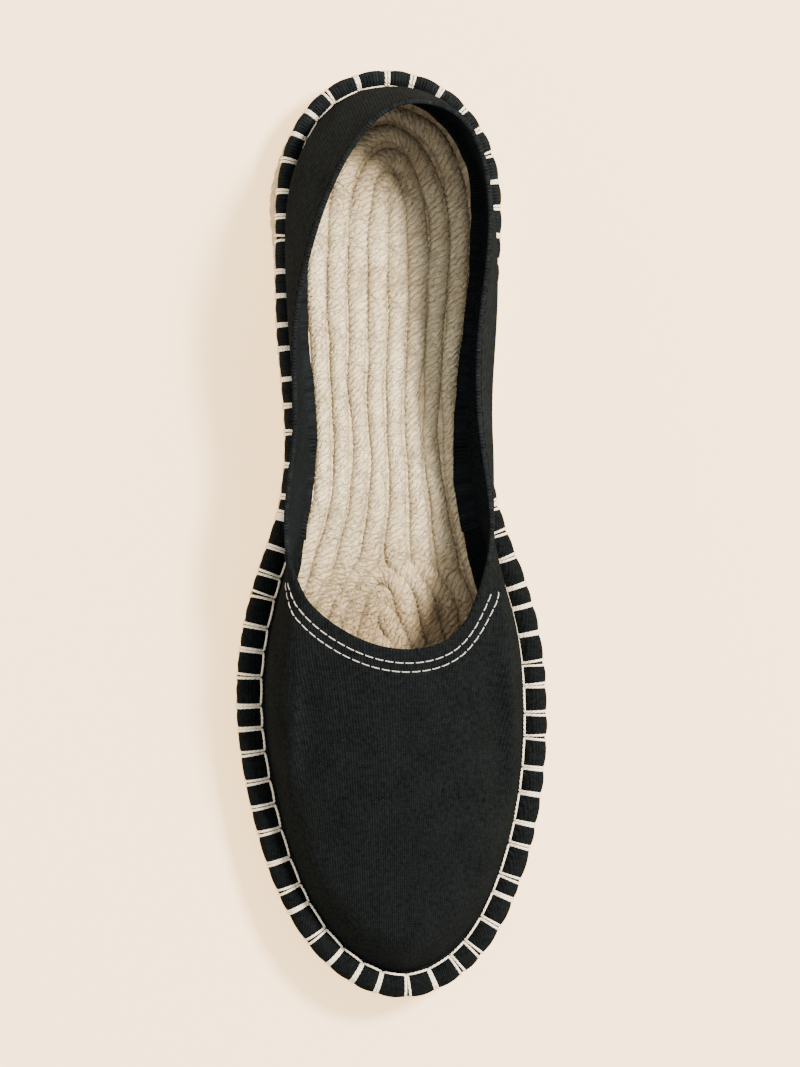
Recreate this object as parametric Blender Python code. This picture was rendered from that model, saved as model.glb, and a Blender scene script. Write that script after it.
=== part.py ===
"""Slip-on espadrille, the right shoe of a pair: canvas upper, braided jute sole and rubber outsole.

Metres, +Z up. The toe points towards -Y and the big-toe side is +X. The origin is on the
floor, under the middle of the shoe. The shoe stands empty on its heel and its forefoot.
"""

import math
from collections import namedtuple

import bmesh
import bpy
import numpy as np

# Overall sizes, over the rolled hem that runs round the top of the sole
SHOE_LENGTH = 0.280
BALL_WIDTH = 0.0944

# Sole: a vulcanised rubber sheet under a coil of braided jute
RUBBER_THICKNESS = 0.0030
RUBBER_INSET = 0.0010
RUBBER_EDGE_ROUND = 0.0008
JUTE_HEEL_THICKNESS = 0.0147
JUTE_TOE_THICKNESS = 0.0132
TOE_SPRING = 0.0065
ARCH_RISE = 0.0012
LAYER_GAP = 0.0003

# The jute braid: the width of one turn of the coil, and how deep its grooves are
ROPE_PITCH = 0.0056
ROPE_GROOVE = 0.0015
SIDE_RIB_COUNT = 2
SIDE_RIB_STEPS = 4
SIDE_RIB_DEPTH = 0.0010
SIDE_INSET = 0.0004

# Rolled hem of the canvas, sewn over the top edge of the jute
VAMP_HEM_WIDTH = 0.0066
QUARTER_HEM_WIDTH = 0.0052
HEM_ROLL_HEIGHT = 0.0030
HEM_WRAP_DEPTH = 0.0048
HEM_SIDE_THICKNESS = 0.0019
JUTE_CHAMFER = 0.0006

# Canvas walls and the heights of the upper above the top of the sole
QUARTER_WALL = 0.0014
VAMP_WALL = 0.0020
VAMP_LAP = 0.0007
TOPLINE_BEAD = 0.0004
HEEL_HEIGHT = 0.0500
INSTEP_HEIGHT = 0.0400
BELLY_DEPTH = 0.0048
SHOULDER_WIDTH = 0.0085
TOE_SHOULDER_WIDTH = 0.0160
LEAST_TURN = 0.0040
SEAM_BLEND = 0.0620

# The canvas's inner edge, turned in over the jute at the foot of the wall. On the inner side it
# widens from the quarter to the throat, and narrows again under the vamp.
FLAP_THICKNESS = 0.0010
FLAP_WIDENING = 0.0065
FLAP_WIDENING_POWER = 1.5
FLAP_WIDENS_FROM, FLAP_WIDEST, FLAP_NARROW_BY = 0.061, -0.018, -0.060

# How finely the shapes are stepped
SPAN_STEPS = 40
QUARTER_STATIONS = 20
VAMP_STATIONS = 20
WALL_STEPS = 10
SEAM_STEP_SHARE = 0.005
BELLY_RISE_POWER = 0.82
BELLY_POWER = 1.4
VAMP_STEP_POWER = 1.7
WELD_DISTANCE = 1e-6

# Outline of the hem, from the heel round the outer side to the toe and back by the inner side:
# across as a share of half the ball width, along as a share of half the length.
OutlineRow = namedtuple("OutlineRow", "name across along")
OUTLINE = (
    OutlineRow("heel_back", -0.03, 1.000),
    OutlineRow("outer_heel_corner", -0.44, 0.955),
    OutlineRow("outer_heel", -0.70, 0.820),
    OutlineRow("outer_heel_side", -0.75, 0.640),
    OutlineRow("outer_quarter", -0.74, 0.430),
    OutlineRow("outer_waist", -0.69, 0.200),
    OutlineRow("outer_seam", -0.75, 0.035),
    OutlineRow("outer_ball_back", -0.88, -0.100),
    OutlineRow("outer_ball", -0.998, -0.345),
    OutlineRow("outer_fore", -0.90, -0.600),
    OutlineRow("outer_toe_side", -0.70, -0.800),
    OutlineRow("outer_toe_corner", -0.37, -0.945),
    OutlineRow("toe", 0.06, -1.000),
    OutlineRow("inner_toe_corner", 0.48, -0.940),
    OutlineRow("inner_toe_side", 0.78, -0.790),
    OutlineRow("inner_fore", 0.945, -0.600),
    OutlineRow("inner_ball", 0.998, -0.385),
    OutlineRow("inner_ball_back", 0.89, -0.130),
    OutlineRow("inner_seam", 0.69, 0.060),
    OutlineRow("inner_waist", 0.62, 0.220),
    OutlineRow("inner_quarter", 0.65, 0.430),
    OutlineRow("inner_heel_side", 0.70, 0.640),
    OutlineRow("inner_heel", 0.65, 0.820),
    OutlineRow("inner_heel_corner", 0.37, 0.955),
)

# Inner edge of the opening, the same way round. Its height is a share of the heel height plus a
# share of the instep height, and the wall below it bellies out by a share of the belly depth.
ToplineRow = namedtuple("ToplineRow", "name across along heel instep belly")
TOPLINE = (
    ToplineRow("heel_back", -0.03, 0.900, 1.00, 0.00, 0.30),
    ToplineRow("outer_heel", -0.33, 0.810, 0.99, 0.00, 0.45),
    ToplineRow("outer_heel_side", -0.53, 0.660, 0.93, 0.00, 0.85),
    ToplineRow("outer_quarter", -0.665, 0.410, 0.62, 0.11, 0.35),
    ToplineRow("outer_waist", -0.66, 0.200, 0.42, 0.24, 0.10),
    ToplineRow("outer_seam", -0.72, -0.045, 0.30, 0.45, 0.10),
    ToplineRow("outer_throat_corner", -0.65, -0.125, 0.16, 0.69, 0.05),
    ToplineRow("outer_throat", -0.41, -0.205, 0.00, 0.95, 0.00),
    ToplineRow("throat_front", 0.02, -0.252, 0.00, 1.00, 0.00),
    ToplineRow("inner_throat", 0.31, -0.225, 0.00, 0.96, 0.00),
    ToplineRow("inner_throat_corner", 0.49, -0.130, 0.16, 0.70, 0.20),
    ToplineRow("inner_seam", 0.55, -0.060, 0.30, 0.45, 0.50),
    ToplineRow("inner_waist", 0.50, 0.190, 0.42, 0.23, 0.90),
    ToplineRow("inner_quarter", 0.47, 0.420, 0.62, 0.11, 1.00),
    ToplineRow("inner_heel_side", 0.515, 0.610, 0.88, 0.00, 0.45),
    ToplineRow("inner_heel", 0.485, 0.770, 0.95, 0.00, 0.10),
    ToplineRow("inner_heel_corner", 0.32, 0.875, 1.00, 0.00, 0.20),
)

# Sections of the last under the vamp. The place runs from 0 at the toe to 1 at the front of the
# throat, the height on the middle line is a share of the instep height, and the side loss is
# the share of that height which is gone at the sides.
LastSection = namedtuple("LastSection", "place height side_loss")
LAST_SECTIONS = (
    LastSection(0.00, 0.42, 0.30),
    LastSection(0.20, 0.53, 0.34),
    LastSection(0.45, 0.69, 0.38),
    LastSection(0.75, 0.87, 0.34),
    LastSection(1.00, 1.00, 0.22),
    LastSection(1.30, 1.06, 0.12),
)
# The last's wall turns over by a superellipse of this power, wider at the toe up to this place
TURN_POWER = 2.2
TOE_SHOULDER_END = 0.35

# Outer face of the rolled hem. On the sole's side, inwards is a share of the hem's thickness
# there and down a share of the wrap depth; on top, inwards is a share of the hem's width and
# up a share of the roll height. The last row is the feather line, where the wall starts.
HemSidePoint = namedtuple("HemSidePoint", "inwards down")
HEM_SIDE = (
    HemSidePoint(0.85, 1.00),
    HemSidePoint(0.35, 1.02),
    HemSidePoint(0.03, 0.72),
    HemSidePoint(0.00, 0.25),
)
HemTopPoint = namedtuple("HemTopPoint", "inwards up")
HEM_TOP = (
    HemTopPoint(0.05, 0.30),
    HemTopPoint(0.20, 0.78),
    HemTopPoint(0.43, 1.00),
    HemTopPoint(0.68, 0.95),
    HemTopPoint(0.88, 0.66),
)
FEATHER_UP = 0.33
HEM_LIP_DOWN = 0.96

# Where the sole bends, as shares of the length from the heel
ARCH_START, ARCH_END, SPRING_START = 0.36, 0.54, 0.74
# How far in from the heel and the toe the coil of jute turns round, as shares of the length
HEEL_TURN, TOE_TURN = 0.125, 0.165

JUTE_STRAW = (0.58, 0.49, 0.37, 1.0)
CANVAS_BLACK = (0.011, 0.013, 0.013, 1.0)
RUBBER_BROWN = (0.085, 0.060, 0.042, 1.0)


def clear_scene():
    for old in list(bpy.data.objects):
        bpy.data.objects.remove(old)


def surface_material(name, colour, roughness):
    material = bpy.data.materials.new(name)
    material.use_nodes = True
    shader = material.node_tree.nodes["Principled BSDF"]
    shader.inputs["Base Color"].default_value = colour
    shader.inputs["Roughness"].default_value = roughness
    shader.inputs["Metallic"].default_value = 0.0
    return material


def spline_loop(rows):
    """A closed cubic spline through the rows, stepped evenly within each span.

    The slopes at the rows come from the usual condition that the second derivative is
    continuous, with each span as long as its chord in plan.
    """
    rows = np.asarray(rows, float)
    ahead = np.roll(rows, -1, axis=0)
    chord = np.linalg.norm((ahead - rows)[:, :2], axis=1)
    before = np.roll(chord, 1)
    count = len(rows)
    system = np.zeros((count, count))
    here = np.arange(count)
    system[here, here - 1] = 1 / before
    system[here, here] = 2 / before + 2 / chord
    system[here, (here + 1) % count] = 1 / chord
    rise = (ahead - rows) / chord[:, None] ** 2
    slopes = np.linalg.solve(system, 3 * (rise + np.roll(rise, 1, axis=0)))
    step = (np.arange(SPAN_STEPS) / SPAN_STEPS)[None, :, None]
    start, end = rows[:, None], ahead[:, None]
    width = chord[:, None, None]
    leave, arrive = slopes[:, None] * width, np.roll(slopes, -1, axis=0)[:, None] * width
    points = (
        (2 * step**3 - 3 * step**2 + 1) * start
        + (step**3 - 2 * step**2 + step) * leave
        + (3 * step**2 - 2 * step**3) * end
        + (step**3 - step**2) * arrive
    )
    return points.reshape(count * SPAN_STEPS, -1)


def row_index(table, name):
    return [row.name for row in table].index(name)


def stretch(loop, first, last, shares):
    """Points at the given shares of the plan length between two rows of a spline loop."""
    end = last if last > first else last + len(loop) // SPAN_STEPS
    places = np.arange(first * SPAN_STEPS, end * SPAN_STEPS + 1) % len(loop)
    part = loop[places]
    run = np.linalg.norm(np.diff(part[:, :2], axis=0), axis=1)
    length = np.concatenate([[0], np.cumsum(run)])
    wanted = np.asarray(shares) * length[-1]
    return np.column_stack([np.interp(wanted, length, column) for column in part.T])


def even_shares(count):
    return np.arange(count) / count


def round_the_shoe(table, loop, landmarks, quarter_shares, vamp_shares):
    """Stations from the heel by the outer side to the toe and back, matched at landmarks."""
    heel, outer, toe, inner = (row_index(table, name) for name in landmarks)
    return np.concatenate(
        [
            stretch(loop, heel, outer, quarter_shares),
            stretch(loop, outer, toe, vamp_shares),
            stretch(loop, toe, inner, 1 - np.append(vamp_shares[1:], 1)[::-1]),
            stretch(loop, inner, heel, quarter_shares),
        ]
    )


def plan_place(row):
    return row.across * BALL_WIDTH / 2, row.along * SHOE_LENGTH / 2


def topline_loop():
    """Across, along, height above the sole's top, and belly of the wall below."""
    rows = []
    for row in TOPLINE:
        height = row.heel * HEEL_HEIGHT + row.instep * INSTEP_HEIGHT
        rows.append((*plan_place(row), height, row.belly * BELLY_DEPTH))
    return spline_loop(rows)


def inward_normals(loop):
    """Unit normals of a closed plan curve, pointing into the shoe."""
    along = np.roll(loop, -1, axis=0)[:, :2] - np.roll(loop, 1, axis=0)[:, :2]
    along /= np.linalg.norm(along, axis=1)[:, None]
    return np.column_stack([-along[:, 1], along[:, 0]])


def outline_loop():
    """Across, along, and the two parts of the inward normal."""
    plan = spline_loop([plan_place(row) for row in OUTLINE])
    return np.column_stack([plan, inward_normals(plan)])


OUTLINE_LANDMARKS = ("heel_back", "outer_seam", "toe", "inner_seam")
TOPLINE_LANDMARKS = ("heel_back", "outer_seam", "throat_front", "inner_seam")


def smooth_step(value):
    value = np.clip(value, 0, 1)
    return value * value * (3 - 2 * value)


def floor_rise(y):
    """Height of the sole's underside above the floor: flat heel, low arch, flat tread, spring."""
    share = 0.5 - np.asarray(y) / SHOE_LENGTH
    arch = np.clip((share - ARCH_START) / (ARCH_END - ARCH_START), 0, 1)
    spring = np.clip((share - SPRING_START) / (1 - SPRING_START), 0, 1)
    return ARCH_RISE * np.sin(math.pi * arch) ** 2 + TOE_SPRING * spring**2


def jute_thickness(y):
    share = np.clip(0.5 - np.asarray(y) / SHOE_LENGTH, 0, 1)
    return JUTE_HEEL_THICKNESS + (JUTE_TOE_THICKNESS - JUTE_HEEL_THICKNESS) * share


def jute_floor(y):
    return floor_rise(y) + RUBBER_THICKNESS + LAYER_GAP


def sole_top(y):
    return jute_floor(y) + jute_thickness(y)


def loft(name, sections, material, close_sections):
    """One closed body from a ring of sections, each a row of points; doubles are welded."""
    stations, rows = sections.shape[:2]
    index = np.arange(stations * rows).reshape(stations, rows)
    beside = np.roll(index, -1, axis=0)
    if close_sections:
        here, there = index, beside
        here_next, there_next = np.roll(index, -1, axis=1), np.roll(beside, -1, axis=1)
    else:
        here, there = index[:, :-1], beside[:, :-1]
        here_next, there_next = index[:, 1:], beside[:, 1:]
    quads = np.stack([here, there, there_next, here_next], axis=-1).reshape(-1, 4)
    mesh = bpy.data.meshes.new(name)
    mesh.from_pydata(sections.reshape(-1, 3).tolist(), [], quads.tolist())
    shape = bmesh.new()
    shape.from_mesh(mesh)
    bmesh.ops.remove_doubles(shape, verts=shape.verts, dist=WELD_DISTANCE)
    bmesh.ops.triangulate(shape, faces=shape.faces)
    bmesh.ops.recalc_face_normals(shape, faces=shape.faces)
    shape.to_mesh(mesh)
    shape.free()
    mesh.shade_smooth()
    mesh.materials.append(material)
    return bpy.data.objects.new(name, mesh)


def sole_rays():
    """Plan rays of the sole: edge, inward normal, the coil's middle, and its reach.

    Both sides share each point of the middle line, which stops where the coil turns round.
    """
    quarter, vamp = even_shares(QUARTER_STATIONS), even_shares(VAMP_STATIONS)
    edge = round_the_shoe(OUTLINE, outline_loop(), OUTLINE_LANDMARKS, quarter, vamp)
    plan, normal = edge[:, :2], edge[:, 2:4]
    opposite = -np.arange(len(plan)) % len(plan)
    middle = (plan + plan[opposite]) / 2
    heel_turn = SHOE_LENGTH * (0.5 - HEEL_TURN)
    toe_turn = SHOE_LENGTH * (TOE_TURN - 0.5)
    share = (middle[:, 1] - middle[:, 1].min()) / np.ptp(middle[:, 1])
    middle[:, 1] = toe_turn + share * (heel_turn - toe_turn)
    apart = np.linalg.norm(middle[:, None] - plan[None], axis=2)
    return plan, normal, middle, apart.min(axis=1)


def along_ray(plan, middle, reach, depth):
    """Points a given depth in from the edge, held at the middle line once they reach it."""
    share = np.minimum(depth / reach, 1.0)[:, None]
    return plan + (middle - plan) * share


def with_height(plan, height):
    return np.column_stack([plan, height])


def rope_dip(depth):
    """How far a point lies below the crests of the coil, from its depth in from the first turn."""
    turn = np.abs((depth / ROPE_PITCH) % 1.0 - 0.5) * 2
    return ROPE_GROOVE * turn


def seat_end():
    """How far in from the outline the jute's flat seat for the canvas goes."""
    return VAMP_HEM_WIDTH + VAMP_WALL + 2 * LAYER_GAP


def jute_edge_inset():
    """The jute under the hem lies inside the outline by the hem's side and the gap."""
    return HEM_SIDE_THICKNESS + LAYER_GAP


def rubber_outsole(material):
    plan, normal, middle, reach = sole_rays()
    half = along_ray(plan, middle, reach, reach / 2)
    rows = [
        with_height(at, floor_rise(at[:, 1]) + RUBBER_THICKNESS) for at in (middle, half)
    ]
    for inset, up in (
        (RUBBER_INSET, RUBBER_THICKNESS),
        (RUBBER_INSET, RUBBER_EDGE_ROUND),
        (RUBBER_INSET + RUBBER_EDGE_ROUND, 0.0),
    ):
        at = plan + normal * inset
        rows.append(with_height(at, floor_rise(at[:, 1]) + up))
    rows += [with_height(at, floor_rise(at[:, 1])) for at in (half, middle)]
    return loft("rubber_outsole", np.stack(rows, axis=1), material, False)


def footbed_rows(plan, middle, reach, seat_inset):
    """The coil's turns across the footbed, from the middle line out to the flat seat."""
    turns = math.ceil((reach.max() - seat_inset) / ROPE_PITCH)
    rows = []
    for half_turn in range(2 * turns, 0, -1):
        depth = np.minimum(seat_inset + half_turn * ROPE_PITCH / 2, reach)
        at = along_ray(plan, middle, reach, depth)
        rows.append(with_height(at, sole_top(at[:, 1]) - rope_dip(depth - seat_inset)))
    return rows


def jute_side_rows(plan, normal):
    """The sole's side: a step in under the hem, then one rib for each row of the braid."""
    edge = jute_edge_inset()
    rows = []
    for inset, drop in (
        (edge + JUTE_CHAMFER, 0.0),
        (edge, JUTE_CHAMFER),
        (edge, HEM_WRAP_DEPTH + LAYER_GAP),
    ):
        at = plan + normal * inset
        rows.append(with_height(at, sole_top(at[:, 1]) - drop))
    steps = SIDE_RIB_STEPS * SIDE_RIB_COUNT
    for step in range(steps + 1):
        swell = abs(math.sin(math.pi * SIDE_RIB_COUNT * step / steps))
        at = plan + normal * (SIDE_INSET + SIDE_RIB_DEPTH * (1 - swell))
        top = sole_top(at[:, 1]) - HEM_WRAP_DEPTH - 2 * LAYER_GAP
        bottom = jute_floor(at[:, 1])
        rows.append(with_height(at, top + (bottom - top) * step / steps))
    return rows


def jute_sole(material):
    plan, normal, middle, reach = sole_rays()
    seat_inset = seat_end()
    seat = plan + normal * seat_inset
    half = along_ray(plan, middle, reach, reach / 2)
    rows = [with_height(middle, sole_top(middle[:, 1]) - rope_dip(reach - seat_inset))]
    rows += footbed_rows(plan, middle, reach, seat_inset)
    rows.append(with_height(seat, sole_top(seat[:, 1])))
    rows += jute_side_rows(plan, normal)
    rows += [with_height(at, jute_floor(at[:, 1])) for at in (half, middle)]
    return loft("jute_sole", np.stack(rows, axis=1), material, False)


def last_column(name, place):
    places = [section.place for section in LAST_SECTIONS]
    return np.interp(place, places, [getattr(section, name) for section in LAST_SECTIONS])


def last_height(points, feather, depth):
    """Height of the last above the sole at plan points, from the table of sections.

    The middle line's height, less what the section loses towards its sides, times a
    quarter-round turn that carries the wall up from the feather line.
    """
    outer = feather[: len(feather) // 2 + 1]
    inner = np.append(feather[len(feather) // 2 :], feather[:1], axis=0)
    y = points[..., 1]
    left = np.interp(y, outer[::-1, 1], outer[::-1, 0])
    right = np.interp(y, inner[:, 1], inner[:, 0])
    half_width = np.maximum((right - left) / 2, WELD_DISTANCE)
    across = np.clip((points[..., 0] - (left + right) / 2) / half_width, -1, 1)
    _, throat = plan_place(TOPLINE[row_index(TOPLINE, "throat_front")])
    toe = feather[:, 1].min()
    place = (y - toe) / (throat - toe)
    narrowing = smooth_step(place / TOE_SHOULDER_END)
    shoulder = TOE_SHOULDER_WIDTH + (SHOULDER_WIDTH - TOE_SHOULDER_WIDTH) * narrowing
    turn = 1 - np.clip(depth / shoulder, 0, 1)
    crown = last_column("height", place) * (1 - last_column("side_loss", place) * across**2)
    return INSTEP_HEIGHT * crown * np.sqrt(np.clip(1 - turn**TURN_POWER, 0, 1))


def upper_stations():
    """Matched stations round the shoe, with a pair close together at each side seam."""
    quarter = even_shares(QUARTER_STATIONS)
    vamp = np.insert(even_shares(VAMP_STATIONS), 1, SEAM_STEP_SHARE)
    edge = round_the_shoe(OUTLINE, outline_loop(), OUTLINE_LANDMARKS, quarter, vamp)
    top = round_the_shoe(TOPLINE, topline_loop(), TOPLINE_LANDMARKS, quarter, vamp)
    first = QUARTER_STATIONS + 1
    last = len(edge) - QUARTER_STATIONS - 1
    on_vamp = np.zeros(len(edge), bool)
    on_vamp[first : last + 1] = True
    return edge[:, :2], edge[:, 2:4], top, on_vamp


def vamp_weight(plan):
    """0 on the quarter and 1 on the vamp, turning over smoothly about the side seams."""
    _, outer = plan_place(OUTLINE[row_index(OUTLINE, "outer_seam")])
    _, inner = plan_place(OUTLINE[row_index(OUTLINE, "inner_seam")])
    return smooth_step(0.5 + ((outer + inner) / 2 - plan[:, 1]) / SEAM_BLEND)


def wall_surface(plan, normal, top, hem_width):
    """The canvas surface from the feather line to the edge of the opening.

    Each station's line is a mix of two shapes: the quarter's wall, straight with a belly, which
    ends a wall's thickness outside the opening's edge, and the vamp's, which follows the last.
    """
    feather = plan + normal * hem_width[:, None]
    weight = vamp_weight(plan)[:, None]
    edge = top[:, :2] - normal * QUARTER_WALL * (1 - weight)
    lift = HEM_ROLL_HEIGHT * FEATHER_UP
    base = sole_top(feather[:, 1])
    step = np.linspace(0, 1, WALL_STEPS + 1)[None, :, None]
    reach = (edge - feather)[:, None]
    belly = top[:, 3][:, None, None] * np.sin(math.pi * step**BELLY_RISE_POWER) ** BELLY_POWER
    quarter = feather[:, None] + reach * step - normal[:, None] * belly
    rise = step[..., 0]
    quarter_z = base[:, None] + lift + (top[:, 2] - lift)[:, None] * rise
    along = step**VAMP_STEP_POWER
    vamp = feather[:, None] + reach * along
    inwards = np.maximum(np.einsum("ijk,ik->ij", reach, normal), LEAST_TURN)
    height = last_height(vamp, feather, inwards * along[..., 0])
    share = height / height[:, -1:]
    vamp_z = sole_top(vamp[..., 1]) + lift * (1 - share) + top[:, 2][:, None] * share
    surface = np.empty((len(plan), WALL_STEPS + 1, 3))
    surface[..., :2] = quarter + (vamp - quarter) * weight[..., None]
    surface[..., 2] = quarter_z + (vamp_z - quarter_z) * weight
    return surface


def outward_normals(surface, on_vamp):
    """Unit normals of the wall; the two close stations at each side seam share one."""
    round_shoe = np.roll(surface, -1, axis=0) - np.roll(surface, 1, axis=0)
    upwards = np.gradient(surface, axis=1)
    normal = np.cross(round_shoe, upwards)
    normal /= np.linalg.norm(normal, axis=2)[..., None]
    for before in np.flatnonzero(on_vamp != np.roll(on_vamp, -1)):
        normal[before : before + 2] = normal[before : before + 2].mean(axis=0)
    return normal / np.linalg.norm(normal, axis=2)[..., None]


def hem_width_at(plan):
    """The vamp's hem is wider than the quarter's."""
    return QUARTER_HEM_WIDTH + (VAMP_HEM_WIDTH - QUARTER_HEM_WIDTH) * vamp_weight(plan)


def hem_outside(plan, normal, hem_width):
    """The hem's face from its lip under the sole's edge, up the side and over the top."""
    rows = []
    for point in HEM_SIDE:
        at = plan + normal * (point.inwards * HEM_SIDE_THICKNESS)
        rows.append(with_height(at, sole_top(at[:, 1]) - point.down * HEM_WRAP_DEPTH))
    for point in HEM_TOP:
        at = plan + normal * (point.inwards * hem_width)[:, None]
        rows.append(with_height(at, sole_top(at[:, 1]) + point.up * HEM_ROLL_HEIGHT))
    return rows


def flap_reach(plan):
    """How far in from the outline the canvas's turned-in edge goes."""
    x, y = plan.T
    growth = np.clip((FLAP_WIDENS_FROM - y) / (FLAP_WIDENS_FROM - FLAP_WIDEST), 0, 1)
    under_vamp = smooth_step((y - FLAP_NARROW_BY) / (FLAP_WIDEST - FLAP_NARROW_BY))
    widening = FLAP_WIDENING * growth**FLAP_WIDENING_POWER * under_vamp * (x > 0)
    return (seat_end() - LAYER_GAP + widening)[:, None]


def hem_underside(plan, normal, hem_width):
    """The turned-in edge, from the wall's foot, then the seat, and down the sole's edge."""
    rows = []
    foot = (hem_width + VAMP_WALL)[:, None]
    flap = flap_reach(plan)
    mitre = LAYER_GAP * math.tan(math.pi / 8)
    for inset, drop in (
        (foot, -LAYER_GAP - FLAP_THICKNESS),
        (flap, -LAYER_GAP - FLAP_THICKNESS),
        (flap, -LAYER_GAP),
        (jute_edge_inset() + JUTE_CHAMFER - mitre, -LAYER_GAP),
        (HEM_SIDE_THICKNESS, JUTE_CHAMFER - mitre),
        (HEM_SIDE_THICKNESS, HEM_WRAP_DEPTH * HEM_LIP_DOWN),
    ):
        at = plan + normal * inset
        rows.append(with_height(at, sole_top(at[:, 1]) - drop))
    return rows


def upper(material):
    """One hollow shell: quarter and vamp, the vamp's lap a step in the wall, and the hem.

    The lap starts above the feather line, where the vamp is sewn down.
    """
    plan, normal, top, on_vamp = upper_stations()
    hem_width = hem_width_at(plan)
    surface = wall_surface(plan, normal, top, hem_width)
    outward = outward_normals(surface, on_vamp)
    lap = np.where(on_vamp, VAMP_LAP, 0.0)[:, None, None]
    wall = np.where(on_vamp, VAMP_WALL - VAMP_LAP, QUARTER_WALL)
    outer = surface + outward * lap
    outer[:, 0] = surface[:, 0]
    inner = surface - outward * wall[:, None, None]
    bead = (outer[:, -1] + inner[:, -1]) / 2 + np.array([0, 0, TOPLINE_BEAD])
    rows = hem_outside(plan, normal, hem_width)
    rows += list(outer.transpose(1, 0, 2))
    rows.append(bead)
    rows += list(inner[:, :0:-1].transpose(1, 0, 2))
    rows += hem_underside(plan, normal, hem_width)
    return loft("upper", np.stack(rows, axis=1), material, True)


def build():
    clear_scene()
    shoe = bpy.data.collections.new("espadrille")
    bpy.context.scene.collection.children.link(shoe)
    canvas = surface_material("black_cotton_canvas", CANVAS_BLACK, 0.92)
    jute = surface_material("natural_jute_braid", JUTE_STRAW, 0.95)
    rubber = surface_material("brown_rubber", RUBBER_BROWN, 0.75)
    for piece in (rubber_outsole(rubber), jute_sole(jute), upper(canvas)):
        shoe.objects.link(piece)


build()
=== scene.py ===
# %% [markdown]
# # A canvas espadrille
# An espadrille is the simplest of shoes: a canvas upper sewn by hand to a sole of coiled jute.
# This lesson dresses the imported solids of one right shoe. Every new piece is a surface worked
# out with numpy: a table of sections, or a profile carried along a path. The same few curves
# of the last carry the cloth, the rope and the thread, so that each lies on the next.

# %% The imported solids
import math
from collections import namedtuple
from functools import partial

import bmesh
import bpy
import numpy as np
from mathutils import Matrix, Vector


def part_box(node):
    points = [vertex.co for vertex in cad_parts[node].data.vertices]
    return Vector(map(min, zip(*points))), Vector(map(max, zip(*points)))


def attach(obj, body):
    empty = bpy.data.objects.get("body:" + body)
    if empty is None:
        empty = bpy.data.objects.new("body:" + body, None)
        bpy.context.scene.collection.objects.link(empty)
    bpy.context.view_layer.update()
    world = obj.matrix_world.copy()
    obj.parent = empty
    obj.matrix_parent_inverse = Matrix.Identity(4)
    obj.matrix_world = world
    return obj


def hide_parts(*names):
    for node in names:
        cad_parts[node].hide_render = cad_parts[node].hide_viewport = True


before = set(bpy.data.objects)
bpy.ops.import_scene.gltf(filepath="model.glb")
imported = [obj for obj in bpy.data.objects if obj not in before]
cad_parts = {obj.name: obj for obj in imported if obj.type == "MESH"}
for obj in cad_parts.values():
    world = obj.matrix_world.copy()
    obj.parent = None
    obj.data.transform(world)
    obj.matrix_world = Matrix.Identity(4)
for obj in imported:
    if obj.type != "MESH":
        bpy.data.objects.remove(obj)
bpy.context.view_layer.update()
MM = 0.001
upper_low, upper_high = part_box("upper")
SHOE_LENGTH = (upper_high.y - upper_low.y) / MM
print(f"shoe {SHOE_LENGTH:.1f} mm long, nodes {sorted(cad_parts)}")

# %% [markdown]
# ## Sizes
# A maker works in millimetres, so the shapes below do too, and only the last step, when a mesh
# is made, turns them into metres. The sizes are those of the solids.

# %% Sizes in millimetres
BALL_WIDTH = 94.4
RUBBER_THICKNESS = 3.0
JUTE_HEEL_THICKNESS, JUTE_TOE_THICKNESS = 14.7, 13.2
TOE_SPRING, ARCH_RISE = 6.5, 1.2
ARCH_START, ARCH_END, SPRING_START = 0.36, 0.54, 0.74
LAYER_GAP = 0.3
VAMP_HEM_WIDTH, QUARTER_HEM_WIDTH, HEM_SPREAD = 6.6, 5.2, 0.7
HEM_ROLL_HEIGHT, HEM_WRAP_DEPTH, HEM_SIDE_THICKNESS = 3.0, 4.8, 1.9
JUTE_CHAMFER = 0.6
QUARTER_WALL, VAMP_WALL, VAMP_LAP = 1.4, 2.0, 0.7
HEEL_HEIGHT, INSTEP_HEIGHT = 50.0, 40.0
BELLY_DEPTH = 4.8
SHOULDER_WIDTH, TOE_SHOULDER_WIDTH, LEAST_TURN = 8.5, 16.0, 4.0
FLAP_THICKNESS = 1.0
FLAP_WIDENING, FLAP_WIDENING_POWER = 6.5, 1.5
FLAP_WIDENS_FROM, FLAP_WIDEST, FLAP_NARROW_BY = 61.0, -18.0, -60.0
SEAM_BLEND = 62.0
SEAT = VAMP_HEM_WIDTH + VAMP_WALL + 2 * LAYER_GAP
random = np.random.default_rng(27)

# %% [markdown]
# ## Short words for arrays
# Each shape below is worked out for all of its points at once. A few steps come back in most
# of them, such as a direction made one long or the length along a line. They could be written
# out each time, but with names the shapes read more like what a maker does.

# %% Array helpers


def unit(vectors):
    """Each vector divided by its length."""
    return vectors / np.linalg.norm(vectors, axis=-1)[..., None]


def lengths_along(lines):
    """The running sum of the steps from a line's first point to each of its points."""
    steps = np.linalg.norm(np.diff(lines, axis=-2), axis=-1)
    return np.concatenate([np.zeros_like(steps[..., :1]), np.cumsum(steps, axis=-1)], axis=-1)


def read_off(places, marks, table):
    """Every column of a table at places between its marks, by straight lines."""
    return np.stack([np.interp(places, marks, column) for column in table.T], axis=-1)


def mix(low, high, share):
    """The first value at share 0, the second at 1, and a straight line between them."""
    return low + (high - low) * share


def smooth_step(value):
    """0 up to 0, 1 from 1 on, and three squares less two cubes between them."""
    value = np.clip(value, 0, 1)
    return value * value * (3 - 2 * value)


def bell(distance, width):
    """1 at no distance, and e to the minus square of distance over width beside it."""
    return np.exp(-((distance / width) ** 2))


def at_height(plan, height):
    """Plan points with their height as third coordinate."""
    return np.concatenate([plan, height[..., None]], axis=-1)


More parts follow.
